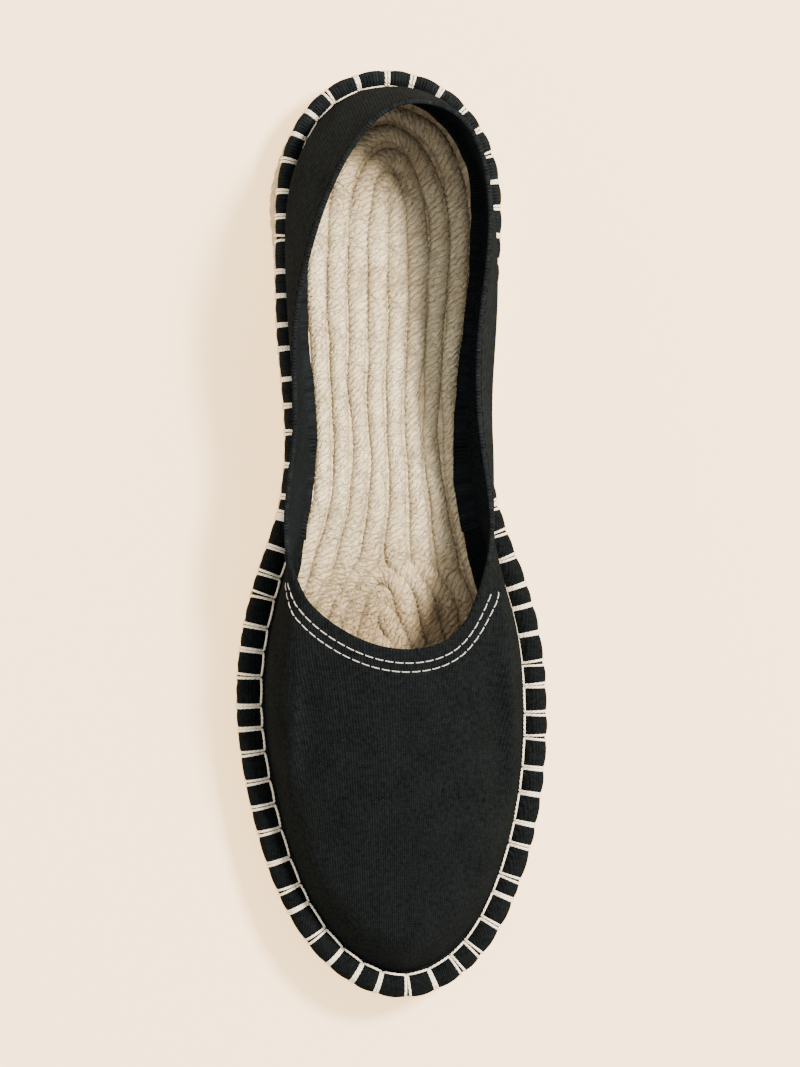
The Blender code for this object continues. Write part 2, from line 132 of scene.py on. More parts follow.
def pairs(first, second):
    """Two arrays, each spread over the other's shape, as pairs of coordinates."""
    return np.stack(np.broadcast_arrays(first, second), axis=-1)


# %% [markdown]
# ## The last
# A shoe is built on a last. Two closed curves hold most of its shape: the outline of the sole
# and the edge of the opening. Each is a short table of shares of the shoe's sizes, from the
# heel round the outer side to the toe and back by the inner side.

# %% Outline and topline tables
OutlineRow = namedtuple("OutlineRow", "name across along")
OUTLINE_ROWS = (
    ("heel_back", -0.03, 1.000),
    ("outer_heel_corner", -0.44, 0.955),
    ("outer_heel", -0.70, 0.820),
    ("outer_heel_side", -0.75, 0.640),
    ("outer_quarter", -0.74, 0.430),
    ("outer_waist", -0.69, 0.200),
    ("outer_seam", -0.75, 0.035),
    ("outer_ball_back", -0.88, -0.100),
    ("outer_ball", -0.998, -0.345),
    ("outer_fore", -0.90, -0.600),
    ("outer_toe_side", -0.70, -0.800),
    ("outer_toe_corner", -0.37, -0.945),
    ("toe", 0.06, -1.000),
    ("inner_toe_corner", 0.48, -0.940),
    ("inner_toe_side", 0.78, -0.790),
    ("inner_fore", 0.945, -0.600),
    ("inner_ball", 0.998, -0.385),
    ("inner_ball_back", 0.89, -0.130),
    ("inner_seam", 0.69, 0.060),
    ("inner_waist", 0.62, 0.220),
    ("inner_quarter", 0.65, 0.430),
    ("inner_heel_side", 0.70, 0.640),
    ("inner_heel", 0.65, 0.820),
    ("inner_heel_corner", 0.37, 0.955),
)
ToplineRow = namedtuple("ToplineRow", "name across along heel instep belly")
TOPLINE_ROWS = (
    ("heel_back", -0.03, 0.900, 1.00, 0.00, 0.30),
    ("outer_heel", -0.33, 0.810, 0.99, 0.00, 0.45),
    ("outer_heel_side", -0.53, 0.660, 0.93, 0.00, 0.85),
    ("outer_quarter", -0.665, 0.410, 0.62, 0.11, 0.35),
    ("outer_waist", -0.66, 0.200, 0.42, 0.24, 0.10),
    ("outer_seam", -0.72, -0.045, 0.30, 0.45, 0.10),
    ("outer_throat_corner", -0.65, -0.125, 0.16, 0.69, 0.05),
    ("outer_throat", -0.41, -0.205, 0.00, 0.95, 0.00),
    ("throat_front", 0.02, -0.252, 0.00, 1.00, 0.00),
    ("inner_throat", 0.31, -0.225, 0.00, 0.96, 0.00),
    ("inner_throat_corner", 0.49, -0.130, 0.16, 0.70, 0.20),
    ("inner_seam", 0.55, -0.060, 0.30, 0.45, 0.50),
    ("inner_waist", 0.50, 0.190, 0.42, 0.23, 0.90),
    ("inner_quarter", 0.47, 0.420, 0.62, 0.11, 1.00),
    ("inner_heel_side", 0.515, 0.610, 0.88, 0.00, 0.45),
    ("inner_heel", 0.485, 0.770, 0.95, 0.00, 0.10),
    ("inner_heel_corner", 0.32, 0.875, 1.00, 0.00, 0.20),
)
OUTLINE = [OutlineRow(*row) for row in OUTLINE_ROWS]
TOPLINE = [ToplineRow(*row) for row in TOPLINE_ROWS]
OUTLINE_LANDMARKS = ("heel_back", "outer_seam", "toe", "inner_seam")
TOPLINE_LANDMARKS = ("heel_back", "outer_seam", "throat_front", "inner_seam")

# %% [markdown]
# A closed cubic spline runs smoothly through a table's rows. It could come from a curve object,
# but worked out here it gives as many points as a piece needs, and places on two curves can be
# matched: the walk round the shoe counts 0 at the heel, 1 at the outer seam, 2 at the toe, 3 at
# the inner seam and 4 at the heel again.

# %% Curves round the shoe
SPAN_STEPS = 120
LEG_STEPS = 600


def spline_loop(rows):
    """A closed cubic spline: its slopes make the second derivative continuous at each row."""
    rows = np.asarray(rows, float)
    ahead = np.roll(rows, -1, axis=0)
    chord = np.linalg.norm((ahead - rows)[:, :2], axis=1)
    before = np.roll(chord, 1)
    here = np.arange(len(rows))
    system = np.zeros((len(rows), len(rows)))
    system[here, here - 1] = 1 / before
    system[here, here] = 2 / before + 2 / chord
    system[here, (here + 1) % len(rows)] = 1 / chord
    rise = (ahead - rows) / chord[:, None] ** 2
    slopes = np.linalg.solve(system, 3 * (rise + np.roll(rise, 1, axis=0)))
    step = (np.arange(SPAN_STEPS) / SPAN_STEPS)[None, :, None]
    width = chord[:, None, None]
    leave, arrive = slopes[:, None] * width, np.roll(slopes, -1, axis=0)[:, None] * width
    points = (
        (2 * step**3 - 3 * step**2 + 1) * rows[:, None]
        + (step**3 - 2 * step**2 + step) * leave
        + (3 * step**2 - 2 * step**3) * ahead[:, None]
        + (step**3 - step**2) * arrive
    )
    return points.reshape(len(rows) * SPAN_STEPS, -1)


def walk_round(table, loop, landmarks):
    """The loop stepped evenly from each landmark to the next, once round and back to the heel."""
    names = [row.name for row in table]
    marks = [names.index(name) * SPAN_STEPS for name in landmarks] + [len(loop)]
    shares = np.arange(LEG_STEPS) / LEG_STEPS
    legs = []
    for first, last in zip(marks[:-1], marks[1:]):
        part = loop[np.arange(first, last + 1) % len(loop)]
        length = lengths_along(part[:, :2])
        legs.append(read_off(shares, length / length[-1], part))
    walk = np.concatenate(legs)
    return np.vstack([walk, walk[:1]])


def plan_place(row):
    """A row's shares of half the ball's width and half the shoe's length, in millimetres."""
    return row.across * BALL_WIDTH / 2, row.along * SHOE_LENGTH / 2


topline_points = [
    (*plan_place(r), r.heel * HEEL_HEIGHT + r.instep * INSTEP_HEIGHT, r.belly * BELLY_DEPTH)
    for r in TOPLINE
]
outline_walk = walk_round(OUTLINE, spline_loop([plan_place(r) for r in OUTLINE]), OUTLINE_LANDMARKS)
topline_walk = walk_round(TOPLINE, spline_loop(topline_points), TOPLINE_LANDMARKS)
ahead = unit(np.roll(outline_walk[:-1], -1, axis=0) - np.roll(outline_walk[:-1], 1, axis=0))
inward_walk = np.column_stack([-ahead[:, 1], ahead[:, 0]])
inward_walk = np.vstack([inward_walk, inward_walk[:1]])
arc_walk = lengths_along(outline_walk)
WALK = np.arange(4 * LEG_STEPS + 1) / LEG_STEPS
PERIMETER = arc_walk[-1]
print(f"perimeter {PERIMETER:.0f} mm")

# %% [markdown]
# ## Stations and the sole's profile
# A station is a place on the walk: a point of the outline, the way inwards from it, and the
# point of the topline above it. The sole lies flat under the heel and the ball, is arched a
# little between them and springs up at the toe.

# %% Stations and heights
Station = namedtuple("Station", "plan inward top belly arc")


def station(walk):
    """Outline, inward direction, topline, belly and arc length at places on the walk."""
    walk = np.asarray(walk, float) % 4
    top = read_off(walk, WALK, topline_walk)
    inward = unit(read_off(walk, WALK, inward_walk))
    arc = np.interp(walk, WALK, arc_walk)
    return Station(read_off(walk, WALK, outline_walk), inward, top[..., :3], top[..., 3], arc)


def walk_at_arc(arc):
    """The place on the walk at a length along the outline, counted from the heel."""
    return np.interp(np.asarray(arc) % PERIMETER, arc_walk, WALK)


def floor_rise(y):
    """Height of the sole's underside: a low arch as sine squared, a toe spring as a square."""
    share = 0.5 - y / SHOE_LENGTH
    arch = np.clip((share - ARCH_START) / (ARCH_END - ARCH_START), 0, 1)
    spring = np.clip((share - SPRING_START) / (1 - SPRING_START), 0, 1)
    return ARCH_RISE * np.sin(math.pi * arch) ** 2 + TOE_SPRING * spring**2


def jute_floor(y):
    """Underside of the jute: the floor's rise, the rubber and the gap over it."""
    return floor_rise(y) + RUBBER_THICKNESS + LAYER_GAP


def sole_top(y):
    """Top of the jute: its floor and a thickness that falls evenly from heel to toe."""
    share = np.clip(0.5 - y / SHOE_LENGTH, 0, 1)
    return jute_floor(y) + mix(JUTE_HEEL_THICKNESS, JUTE_TOE_THICKNESS, share)


def vamp_weight(y):
    """0 on the quarter and 1 on the vamp, turning over smoothly about the side seams."""
    seams = station([1.0, 3.0]).plan[:, 1].mean()
    return smooth_step(0.5 + (seams - y) / SEAM_BLEND)


def hem_width(y):
    """The hem's width, with the vamp's pressed a little wider by its stitches."""
    return mix(QUARTER_HEM_WIDTH, VAMP_HEM_WIDTH + HEM_SPREAD, vamp_weight(y))


# %% [markdown]
# ## From points to meshes
# Each piece is a grid of points, so one function turns a grid into quads. A grid that closes on
# itself wraps round, but its cloth coordinates must not jump back there, so they have a row or
# a column more than the points. A closed piece is turned the right way out by its volume.

# %% Grid to mesh
# Each tube's pattern starts this much further along than the one before.
THREAD_SHIFT = 7.3
TUBE_SIDES = 8
UPWARDS = np.array([0.0, 0.0, 1.0])


def corners(rows, columns):
    """The four grid places of each quad, as row and column numbers."""
    row, column = np.meshgrid(np.arange(rows), np.arange(columns), indexing="ij")
    row, column = row.reshape(-1, 1), column.reshape(-1, 1)
    return row + np.array([[0, 1, 1, 0]]), column + np.array([[0, 0, 1, 1]])


def signed_volume(points, faces):
    """Six times the volume inside the faces, as the sum of their cones from the origin."""
    total = 0.0
    for face in faces:
        a = points[face[:, 0]]
        for k in range(1, face.shape[1] - 1):
            total += np.einsum("ij,ij->", a, np.cross(points[face[:, k]], points[face[:, k + 1]]))
    return total


def grid_faces(points, cloth, wrap=(False, True), caps=False):
    """Points, faces and corner UVs of equal grids, each wrapped along its rows or columns or not.

    Points run over the grids, their rows and their columns. Quads join neighbours, and a cap
    is a polygon over the first row or the last.
    """
    count, rows, columns = points.shape[:3]
    row, column = corners(rows - 1 + wrap[0], columns - 1 + wrap[1])
    number = np.arange(count)[:, None, None]
    faces = [((number * rows + row % rows) * columns + column % columns).reshape(-1, 4)]
    uvs = [cloth[number, row, column].reshape(-1, 4, 2)]
    if caps:
        row, column = np.array([[0], [rows - 1]]), np.arange(columns)
        column = np.stack([column[::-1], column])
        faces.append(((number * rows + row) * columns + column).reshape(-1, columns))
        uvs.append(cloth[number, row, column].reshape(-1, columns, 2))
    return points.reshape(-1, 3), faces, uvs


def make_piece(name, parts, material, merge=False):
    """One object from parts in millimetres, each of them what grid_faces gives."""
    starts = np.cumsum([0] + [len(part[0]) for part in parts])
    points = np.concatenate([part[0] for part in parts])
    faces = [face + start for part, start in zip(parts, starts) for face in part[1]]
    uvs = [uv for part in parts for uv in part[2]]
    if signed_volume(points, faces) < 0:
        faces = [face[:, ::-1] for face in faces]
        uvs = [uv[:, ::-1] for uv in uvs]
    mesh = bpy.data.meshes.new(name)
    listed = [corner for face in faces for corner in face.tolist()]
    mesh.from_pydata((points * MM).tolist(), [], listed)
    layer = mesh.uv_layers.new(name="cloth")
    layer.uv.foreach_set("vector", np.concatenate([uv.reshape(-1) for uv in uvs]))
    if merge:
        shape = bmesh.new()
        shape.from_mesh(mesh)
        bmesh.ops.remove_doubles(shape, verts=shape.verts, dist=0.001 * MM)
        shape.to_mesh(mesh)
        shape.free()
    mesh.shade_smooth()
    mesh.materials.append(material)
    piece = bpy.data.objects.new(name, mesh)
    bpy.context.scene.collection.objects.link(piece)
    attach(piece, "root")
    print(f"{name}: {sum(len(f) * (f.shape[1] - 2) for f in faces)} triangles")
    return piece


def tubes_piece(name, paths, beside, radius, material, sides=TUBE_SIDES):
    """Many tubes at once: a circle carried along each path, with its two ends capped.

    The circle stands across the path's direction. Its first axis is the direction beside the
    path made square to it, and its second is their cross product. The cloth coordinates are
    the length along the path and the share of a turn round it.
    """
    count, steps = paths.shape[:2]
    along = unit(np.gradient(paths, axis=1))
    first = unit(beside - along * np.sum(beside * along, axis=-1, keepdims=True))
    second = np.cross(along, first)
    share = np.arange(sides + 1) / sides
    angle = (share * 2 * math.pi)[:, None]
    circle = first[:, :, None] * np.cos(angle) + second[:, :, None] * np.sin(angle)
    points = paths[:, :, None] + circle * np.broadcast_to(radius, (count, steps))[..., None, None]
    number = np.arange(count)[:, None, None]
    length = lengths_along(paths)[..., None] + number * THREAD_SHIFT
    cloth = pairs(length, share)
    return make_piece(name, [grid_faces(points[:, :, :-1], cloth, caps=True)], material)


# %% [markdown]
# ## Building materials from nodes
# A material is a small tree of nodes. One function adds a node, and a setting that is itself a
# node's output is linked. Colours are written as sRGB hex values, the way a dyer's card gives
# them.

# %% Node and colour helpers


def linear(colour):
    """An sRGB hex value as linear red, green, blue and full alpha."""
    parts = np.array([int(colour[k : k + 2], 16) for k in (1, 3, 5)]) / 255
    low, high = parts / 12.92, ((parts + 0.055) / 1.055) ** 2.4
    return (*np.where(parts <= 0.04045, low, high).tolist(), 1.0)


def set_up(node, settings):
    """Each setting is a socket's value, a link into it, the stops of a ramp or a property."""
    for key, value in settings.items():
        if key == "stops":
            elements = node.color_ramp.elements
            elements.remove(elements[0])
            elements[0].position = value[0][0]
            elements[0].color = linear(value[0][1])
            for place, colour in value[1:]:
                elements.new(place).color = linear(colour)
        elif not isinstance(key, int) and key not in node.inputs:
            setattr(node, key, value)
        elif isinstance(value, bpy.types.NodeSocket):
            node.id_data.links.new(value, node.inputs[key])
        else:
            node.inputs[key].default_value = value


def add_node(tree, kind, settings, output=0):
    """A node with its settings and links, of which one output comes back."""
    made = tree.nodes.new("ShaderNode" + kind)
    set_up(made, settings)
    return made.outputs[output]


def new_material(name):
    """A material, its shader, and add_node for its tree."""
    material = bpy.data.materials.new(name)
    material.use_nodes = True
    tree = material.node_tree
    return material, tree.nodes["Principled BSDF"], partial(add_node, tree)


# %% [markdown]
# ## Cotton canvas
# Canvas is a plain weave of stout cotton yarn, dyed black here. From a step away the eye sees
# fine ribs along the warp, a dull surface that goes grey where the light grazes its fuzz, and a
# few specks of lint. The weave could be an image, but sine waves on the cloth's own
# coordinates, in millimetres, hold at any size. Real threads are about 0.5 mm wide; the ribs
# are drawn twice as coarse, so that they still show in the picture.

# %% Canvas material
WARP_MM, WEFT_MM = 1.05, 0.80
FUZZ_MM, SLUB_MM, SHADE_MM, LINT_MM = 0.50, 1.6, 11.0, 0.45
WARP_WEIGHT = 0.8
FUZZ_RELIEF = 2.2
SHADE_WEIGHT = 0.4
WEAVE_PAINTED_SHADE = 0.11
LINT_STRENGTH = 0.09


def woven_canvas(name, deep, worn, sheen):
    """Plain-weave cotton: crossed ribs as bump and as painted light and shade, uneven dye, fuzz as noise,
    sheen from nap.

    The weave is the product of the two sines, and the warp's sine added with its weight.
    """
    material, shader, node = new_material(name)
    cloth = node("UVMap", {"uv_map": "cloth"})
    ribs = []
    for axis, size in (("X", WARP_MM), ("Y", WEFT_MM)):
        way = node("SeparateXYZ", {0: cloth}, axis)
        turn = node("Math", {"operation": "MULTIPLY", 0: way, 1: 2 * math.pi / size})
        ribs.append(node("Math", {"operation": "SINE", 0: turn}))
    crossed = node("Math", {"operation": "MULTIPLY", 0: ribs[0], 1: ribs[1]})
    weave = node("Math", {"operation": "MULTIPLY_ADD", 0: ribs[0], 1: WARP_WEIGHT, 2: crossed})
    fuzz = node("TexNoise", {"Scale": 1 / FUZZ_MM, "Detail": 4.0, "Roughness": 0.7, "Vector": cloth})
    relief = node("Math", {"operation": "MULTIPLY_ADD", 0: fuzz, 1: FUZZ_RELIEF, 2: weave})
    bump = node("Bump", {"Strength": 0.8, "Distance": 0.00016, "Height": relief})
    slub = node("TexNoise", {"Scale": 1 / SLUB_MM, "Detail": 5.0, "Vector": cloth})
    shade = node("TexNoise", {"Scale": 1 / SHADE_MM, "Detail": 3.0, "Vector": cloth})
    mottled = node("Math", {"operation": "MULTIPLY_ADD", 0: shade, 1: SHADE_WEIGHT, 2: slub})
    # Painted light and shade: the dye is lighter on the weave's ribs and darker between them.
    lifted = node("Math", {"operation": "MULTIPLY_ADD", 0: weave, 1: WEAVE_PAINTED_SHADE, 2: mottled})
    dye = node("ValToRGB", {"stops": ((0.35, deep), (1.05, worn)), "Fac": lifted})
    lint = node("TexNoise", {"Scale": 1 / LINT_MM, "Detail": 2.0, "Vector": cloth})
    speck = node("ValToRGB", {"stops": ((0.64, "#000000"), (0.78, "#FFFFFF")), "Fac": lint})
    faint = node("Math", {"operation": "MULTIPLY", 0: speck, 1: LINT_STRENGTH})
    colour = node("MixRGB", {"Fac": faint, "Color1": dye, "Color2": linear("#868C92")})
    set_up(shader, {"Base Color": colour, "Normal": bump, "Roughness": 1.0, "Specular IOR Level": 0.0})
    nap = {"Sheen Weight": sheen, "Sheen Roughness": 0.5, "Sheen Tint": linear("#AAB2B4")}
    set_up(shader, nap)
    return material


vamp_cloth = woven_canvas("plain_woven_black_cotton_vamp", "#060808", "#16191A", 0.013)
# The quarter's black cotton is a little lighter than the vamp's: painted light for the grazing light on its
# fuzz.
quarter_cloth = woven_canvas("plain_woven_black_cotton_quarter", "#08090A", "#1B1F21", 0.015)

# %% [markdown]
# ## Blanket stitch places
# The upper is sewn on with a blanket stitch every 8 mm or so. Each stitch pulls the rolled hem
# in, and the canvas puffs up between them. The places are even steps with a little seeded
# unevenness, because a hand sews them, and at each side seam a second stitch lies close by.

# %% Places of the stitches
PITCH_AT_WALK = np.array(
    [(0.0, 9.6), (0.3, 8.2), (1.5, 8.2), (2.0, 9.2), (2.5, 8.2), (3.0, 8.0), (3.7, 8.2), (4.0, 9.6)]
)
PITCH_JITTER = 0.09
COUNTING_STEPS = 800
SEAM_DOUBLE = 1.7
FULL_PUFF_GAP, LEAST_PUFF, MOST_PUFF, PUFF_POWER = 6.0, 0.88, 1.08, 0.55
outer_seam_arc, inner_seam_arc = station([1.0, 3.0]).arc


def uneven_steps(first, last):
    """Arcs from first up to last, a stitch pitch apart, each moved by a seeded share of it."""
    arcs = np.linspace(first, last, COUNTING_STEPS)
    density = 1 / np.interp(walk_at_arc(arcs), *PITCH_AT_WALK.T)
    counted = np.concatenate([[0], np.cumsum((density[1:] + density[:-1]) / 2 * np.diff(arcs))])
    count = round(counted[-1])
    moved = np.arange(count) + random.normal(0, PITCH_JITTER, count) * (np.arange(count) > 0)
    return np.interp(moved / count * counted[-1], counted, arcs)


round_the_toe = uneven_steps(outer_seam_arc, inner_seam_arc)
round_the_heel = uneven_steps(inner_seam_arc, outer_seam_arc + PERIMETER) % PERIMETER
doubled = [outer_seam_arc - SEAM_DOUBLE, inner_seam_arc + SEAM_DOUBLE]
bars = np.sort(np.concatenate([round_the_toe, round_the_heel, doubled]))
bar_gap = np.diff(np.append(bars, bars[0] + PERIMETER))
puff = random.uniform(LEAST_PUFF, MOST_PUFF, len(bars)) * np.minimum(1, bar_gap / FULL_PUFF_GAP) ** 2


def pillow(arc):
    """How far the hem puffs up at an arc: 0 at a stitch, and a steep sine arch between two."""
    arc = np.asarray(arc) % PERIMETER
    left = np.searchsorted(bars, arc, side="right") - 1
    share = ((arc - bars[left]) % PERIMETER) / bar_gap[left]
    return puff[left] * np.sin(math.pi * np.clip(share, 0, 1)) ** PUFF_POWER


print(f"{len(bars)} stitches, {bar_gap.mean():.1f} mm apart")

# %% [markdown]
# ## The rolled hem
# The edge of the canvas is turned under twice and rolled over the top edge of the jute. Its
# section is a short row of points in the plane across the sole: how far in from the outline,
# how high above the sole's top, and how far the stitch pulls that point in and down.

# %% Hem section
# Columns: shares of the side's thickness, the hem's width, the wrap and the roll; pull in, pull down.
HEM_TABLE = np.array(
    [
        (0.85, 0.00, -1.00, 0.00, 0.10, 0.00),
        (0.35, 0.00, -1.02, 0.00, 0.30, 0.00),
        (0.03, 0.00, -0.72, 0.00, 0.55, 0.00),
        (0.00, 0.00, -0.25, 0.00, 0.75, 0.05),
        (0.00, 0.05, 0.00, 0.34, 0.75, 0.35),
        (0.00, 0.20, 0.00, 0.84, 0.45, 0.75),
        (0.00, 0.43, 0.00, 1.08, 0.10, 0.95),
        (0.00, 0.68, 0.00, 1.03, -0.25, 1.05),
        (0.00, 0.88, 0.00, 0.70, -0.55, 0.95),
        (0.00, 1.00, 0.00, 0.33, -0.25, 0.35),
    ]
)
HEM_SPAN_STEPS = 3


def smooth_row(points, steps):
    """A Catmull-Rom line through the points of the second last axis, with steps a span."""
    ends = 2 * points[..., [0, -1], :] - points[..., [1, -2], :]
    whole = np.concatenate([ends[..., :1, :], points, ends[..., 1:, :]], axis=-2)
    a, b, c, d = (whole[..., k : whole.shape[-2] - 3 + k, None, :] for k in range(4))
    t = (np.arange(steps) / steps)[:, None]
    line = 0.5 * (
        2 * b + (c - a) * t + (2 * a - 5 * b + 4 * c - d) * t**2 + (3 * b - a - 3 * c + d) * t**3
    )
    line = line.reshape(*line.shape[:-3], -1, line.shape[-1])
    return np.concatenate([line, points[..., -1:, :]], axis=-2)


def hem_section(y, puffed):
    """Inset and height above the sole's top of the hem's face, from its lip to the feather line."""
    side, width, wrap, roll, pull_in, pull_down = HEM_TABLE.T
    pulled = (1 - puffed)[..., None]
    inset = side * HEM_SIDE_THICKNESS + width * hem_width(y)[..., None] + pull_in * pulled
    up = wrap * HEM_WRAP_DEPTH + roll * HEM_ROLL_HEIGHT - pull_down * pulled
    return smooth_row(np.stack([inset, up], axis=-1), HEM_SPAN_STEPS)


def stand_up(place, section):
    """Points of a section of inset and height at each station, in the shoe's own space."""
    plan = place.plan[..., None, :] + place.inward[..., None, :] * section[..., :1]
    return at_height(plan, sole_top(place.plan[..., 1])[..., None] + section[..., 1])


# %% [markdown]
# ## The canvas wall
# Above the feather line the canvas follows the last. On the quarter a station's line is
# straight, with a belly where the empty cloth bags out. On the vamp it climbs a rounded
# shoulder and then crosses the crown of the last to the throat. The two shapes are mixed
# about the side seams.

# %% Wall lines
# Columns: place from toe to throat, height as a share of the instep's, loss at the sides.
LAST_SECTIONS = np.array(
    [
        (0.00, 0.42, 0.30),
        (0.20, 0.53, 0.34),
        (0.45, 0.69, 0.38),
        (0.75, 0.87, 0.34),
        (1.00, 1.00, 0.22),
        (1.30, 1.06, 0.12),
    ]
)
TURN_POWER, LEAST_HALF_WIDTH = 2.2, 0.001
TOE_SHOULDER_END = 0.35
BELLY_RISE_POWER, BELLY_POWER = 0.82, 1.4
VAMP_STEP_POWER = 1.7
WALL_STEPS = 44
FEATHER_UP = 0.33
walk_station = station(WALK)
feather_walk = walk_station.plan + walk_station.inward * hem_width(walk_station.plan[:, 1])[:, None]
outer_feather = feather_walk[: 2 * LEG_STEPS + 1][::-1]
inner_feather = feather_walk[2 * LEG_STEPS :]


def last_height(points, depth):
    """Crown of the last at plan points, times a quarter-round turn over the shoulder."""
    y = points[..., 1]
    left = np.interp(y, outer_feather[:, 1], outer_feather[:, 0])
    right = np.interp(y, inner_feather[:, 1], inner_feather[:, 0])
    half_width = np.maximum((right - left) / 2, LEAST_HALF_WIDTH)
    across = np.clip((points[..., 0] - (left + right) / 2) / half_width, -1, 1)
    toe, throat = feather_walk[:, 1].min(), topline_walk[2 * LEG_STEPS, 1]
    place = (y - toe) / (throat - toe)
    shoulder = mix(TOE_SHOULDER_WIDTH, SHOULDER_WIDTH, smooth_step(place / TOE_SHOULDER_END))
    turn = 1 - np.clip(depth / shoulder, 0, 1)
    height, side_loss = np.moveaxis(read_off(place, LAST_SECTIONS[:, 0], LAST_SECTIONS[:, 1:]), -1, 0)
    crown = height * (1 - side_loss * across**2)
    return INSTEP_HEIGHT * crown * np.sqrt(np.clip(1 - turn**TURN_POWER, 0, 1))


def wall_lines(place):
    """A line of points for each station, from the feather line up to the topline."""
    y = place.plan[:, 1]
    feather = place.plan + place.inward * hem_width(y)[:, None]
    lift = HEM_ROLL_HEIGHT * FEATHER_UP
    step = np.linspace(0, 1, WALL_STEPS + 1)[None, :, None]
    weight = vamp_weight(y)[:, None]
    edge = place.top[:, :2] - place.inward * QUARTER_WALL * (1 - weight)
    reach = (edge - feather)[:, None]
    belly = place.belly[:, None, None] * np.sin(math.pi * step**BELLY_RISE_POWER) ** BELLY_POWER
    quarter = feather[:, None] + reach * step - place.inward[:, None] * belly
    quarter_z = sole_top(feather[:, 1])[:, None] + mix(lift, place.top[:, 2:], step[..., 0])
    along = step**VAMP_STEP_POWER
    vamp = feather[:, None] + reach * along
    inwards = np.maximum(np.einsum("ijk,ik->ij", reach, place.inward), LEAST_TURN)
    height = last_height(vamp, inwards * along[..., 0])
    vamp_z = sole_top(vamp[..., 1]) + mix(lift, place.top[:, 2:], height / height[:, -1:])
    return at_height(mix(quarter, vamp, weight[..., None]), mix(quarter_z, vamp_z, weight))


def outward_normals(lines):
    """Unit normals of the wall: the cross product of its two directions on the grid."""
    return unit(np.cross(np.gradient(lines, axis=0), np.gradient(lines, axis=1)))


# %% [markdown]
# ## Slack in the cloth
# Canvas with no foot in it settles into soft troughs and ridges. They are placed one by one, in
# the shoe's own sizes: a middle point, a direction, how long and how wide each is, and how far
# it stands out or sinks in. Each one is a bell curve across and along its line.

# %% Soft folds
Fold = namedtuple("Fold", "across along turn_deg length width height")
FOLD_ROWS = (
    (-31.0, -46.0, 88.0, 42.0, 1.9, 1.3),
    (-26.5, -48.0, 84.0, 34.0, 4.0, -1.0),
    (32.0, -50.0, 95.0, 46.0, 1.9, 1.4),
    (27.0, -50.0, 97.0, 36.0, 3.6, -1.1),
    (-4.0, -62.0, 8.0, 26.0, 9.0, -0.5),
    (6.0, -84.0, -6.0, 24.0, 8.0, 0.35),
    (-20.0, -90.0, 60.0, 22.0, 7.0, 0.4),
    (24.0, -86.0, 118.0, 24.0, 7.0, 0.4),
)


def fold_height(points):
    """Sum of the folds at plan points: each is a bell across and along its own line."""
    total = np.zeros(points.shape[:-1])
    for fold in (Fold(*row) for row in FOLD_ROWS):
        x, y = points[..., 0] - fold.across, points[..., 1] - fold.along
        turn = math.radians(fold.turn_deg)
        length = x * math.cos(turn) + y * math.sin(turn)
        width = y * math.cos(turn) - x * math.sin(turn)
        total += fold.height * bell(length, fold.length) * bell(width, fold.width)
    return total


# %% [markdown]
# ## Vamp and quarter
# A maker cuts two pieces of canvas: the vamp, from the toe to the throat, and the quarter, round
# the heel. Each is a closed section carried round its part of the shoe: over the hem, up the
# outside of the wall, over the bound edge, down the inside and back along the jute. The vamp
# laps over the quarter at both seams, and its own edge there is rounded off.

# %% The turned-in edge
FLAP_WAVE, FLAP_OVER_ROPE = 0.35, 0.3
FLAP_WAVE_LENGTHS, FLAP_WAVE_SHARES = (38, 17, 9), (0.5, 0.3, 0.2)
FLAP_CORNER, FLAP_CORNER_AT, FLAP_CORNER_WIDTH = 2.4, -9.0, 9.0
FOOT_OUT, FOOT_UP = 0.35, 0.55
FLAP_BEVEL, FLAP_NOSE, FLAP_UNDERCUT = 0.45, 0.55, 0.25
WRAP_INSIDE = 0.96
TUCK_INSIDE = 0.5


def waves(arcs, lengths, heights):
    """A smooth unevenness round the shoe: sines of whole turns, each with a seeded start."""
    turns = np.round(PERIMETER / np.asarray(lengths))
    start = random.uniform(0, 2 * math.pi, len(turns))
    return np.sin(2 * math.pi * np.outer(arcs / PERIMETER, turns) + start) @ np.asarray(heights)


def flap_reach(place, arcs):
    """How far in the turned-in edge goes: wider towards the throat on the inner side, and uneven."""
    x, y = place.plan.T
    growth = np.clip((FLAP_WIDENS_FROM - y) / (FLAP_WIDENS_FROM - FLAP_WIDEST), 0, 1)
    under_vamp = smooth_step((y - FLAP_NARROW_BY) / (FLAP_WIDEST - FLAP_NARROW_BY))
    widening = FLAP_WIDENING * growth**FLAP_WIDENING_POWER * under_vamp * (x > 0)
    widening += FLAP_CORNER * bell(y - FLAP_CORNER_AT, FLAP_CORNER_WIDTH) * (x < 0)
    uneven = FLAP_WAVE * waves(arcs, FLAP_WAVE_LENGTHS, FLAP_WAVE_SHARES)
    return SEAT + FLAP_OVER_ROPE + widening + uneven


def underside(place, wall, flap, tucked):
    """The wall's foot, the edge turned in over the jute, the seat and the hem's own inside."""
    ones = np.ones(len(flap))
    mitre = LAYER_GAP * math.tan(math.pi / 8)
    corner = HEM_SIDE_THICKNESS + LAYER_GAP + JUTE_CHAMFER - mitre
    points = (
        (hem_width(place.plan[:, 1]) + wall + FOOT_OUT, FLAP_THICKNESS + FOOT_UP),
        (flap - FLAP_BEVEL, FLAP_THICKNESS + LAYER_GAP),
        (flap, FLAP_THICKNESS * FLAP_NOSE + LAYER_GAP),
        (flap - FLAP_UNDERCUT, LAYER_GAP),
        (ones * corner, LAYER_GAP),
        (ones * HEM_SIDE_THICKNESS, mitre - JUTE_CHAMFER),
        (ones * HEM_SIDE_THICKNESS, -HEM_WRAP_DEPTH * WRAP_INSIDE),
    )
    section = np.stack([pairs(inset, up) for inset, up in points], axis=1)
    section[..., 0] += tucked[:, None] * TUCK_INSIDE
    return stand_up(place, section)


# %% [markdown]
# A shell's relief is added along the wall's normals: the soft folds, which fade towards the
# topline, a pucker above each stitch, and a shallow valley above the vamp's hem.

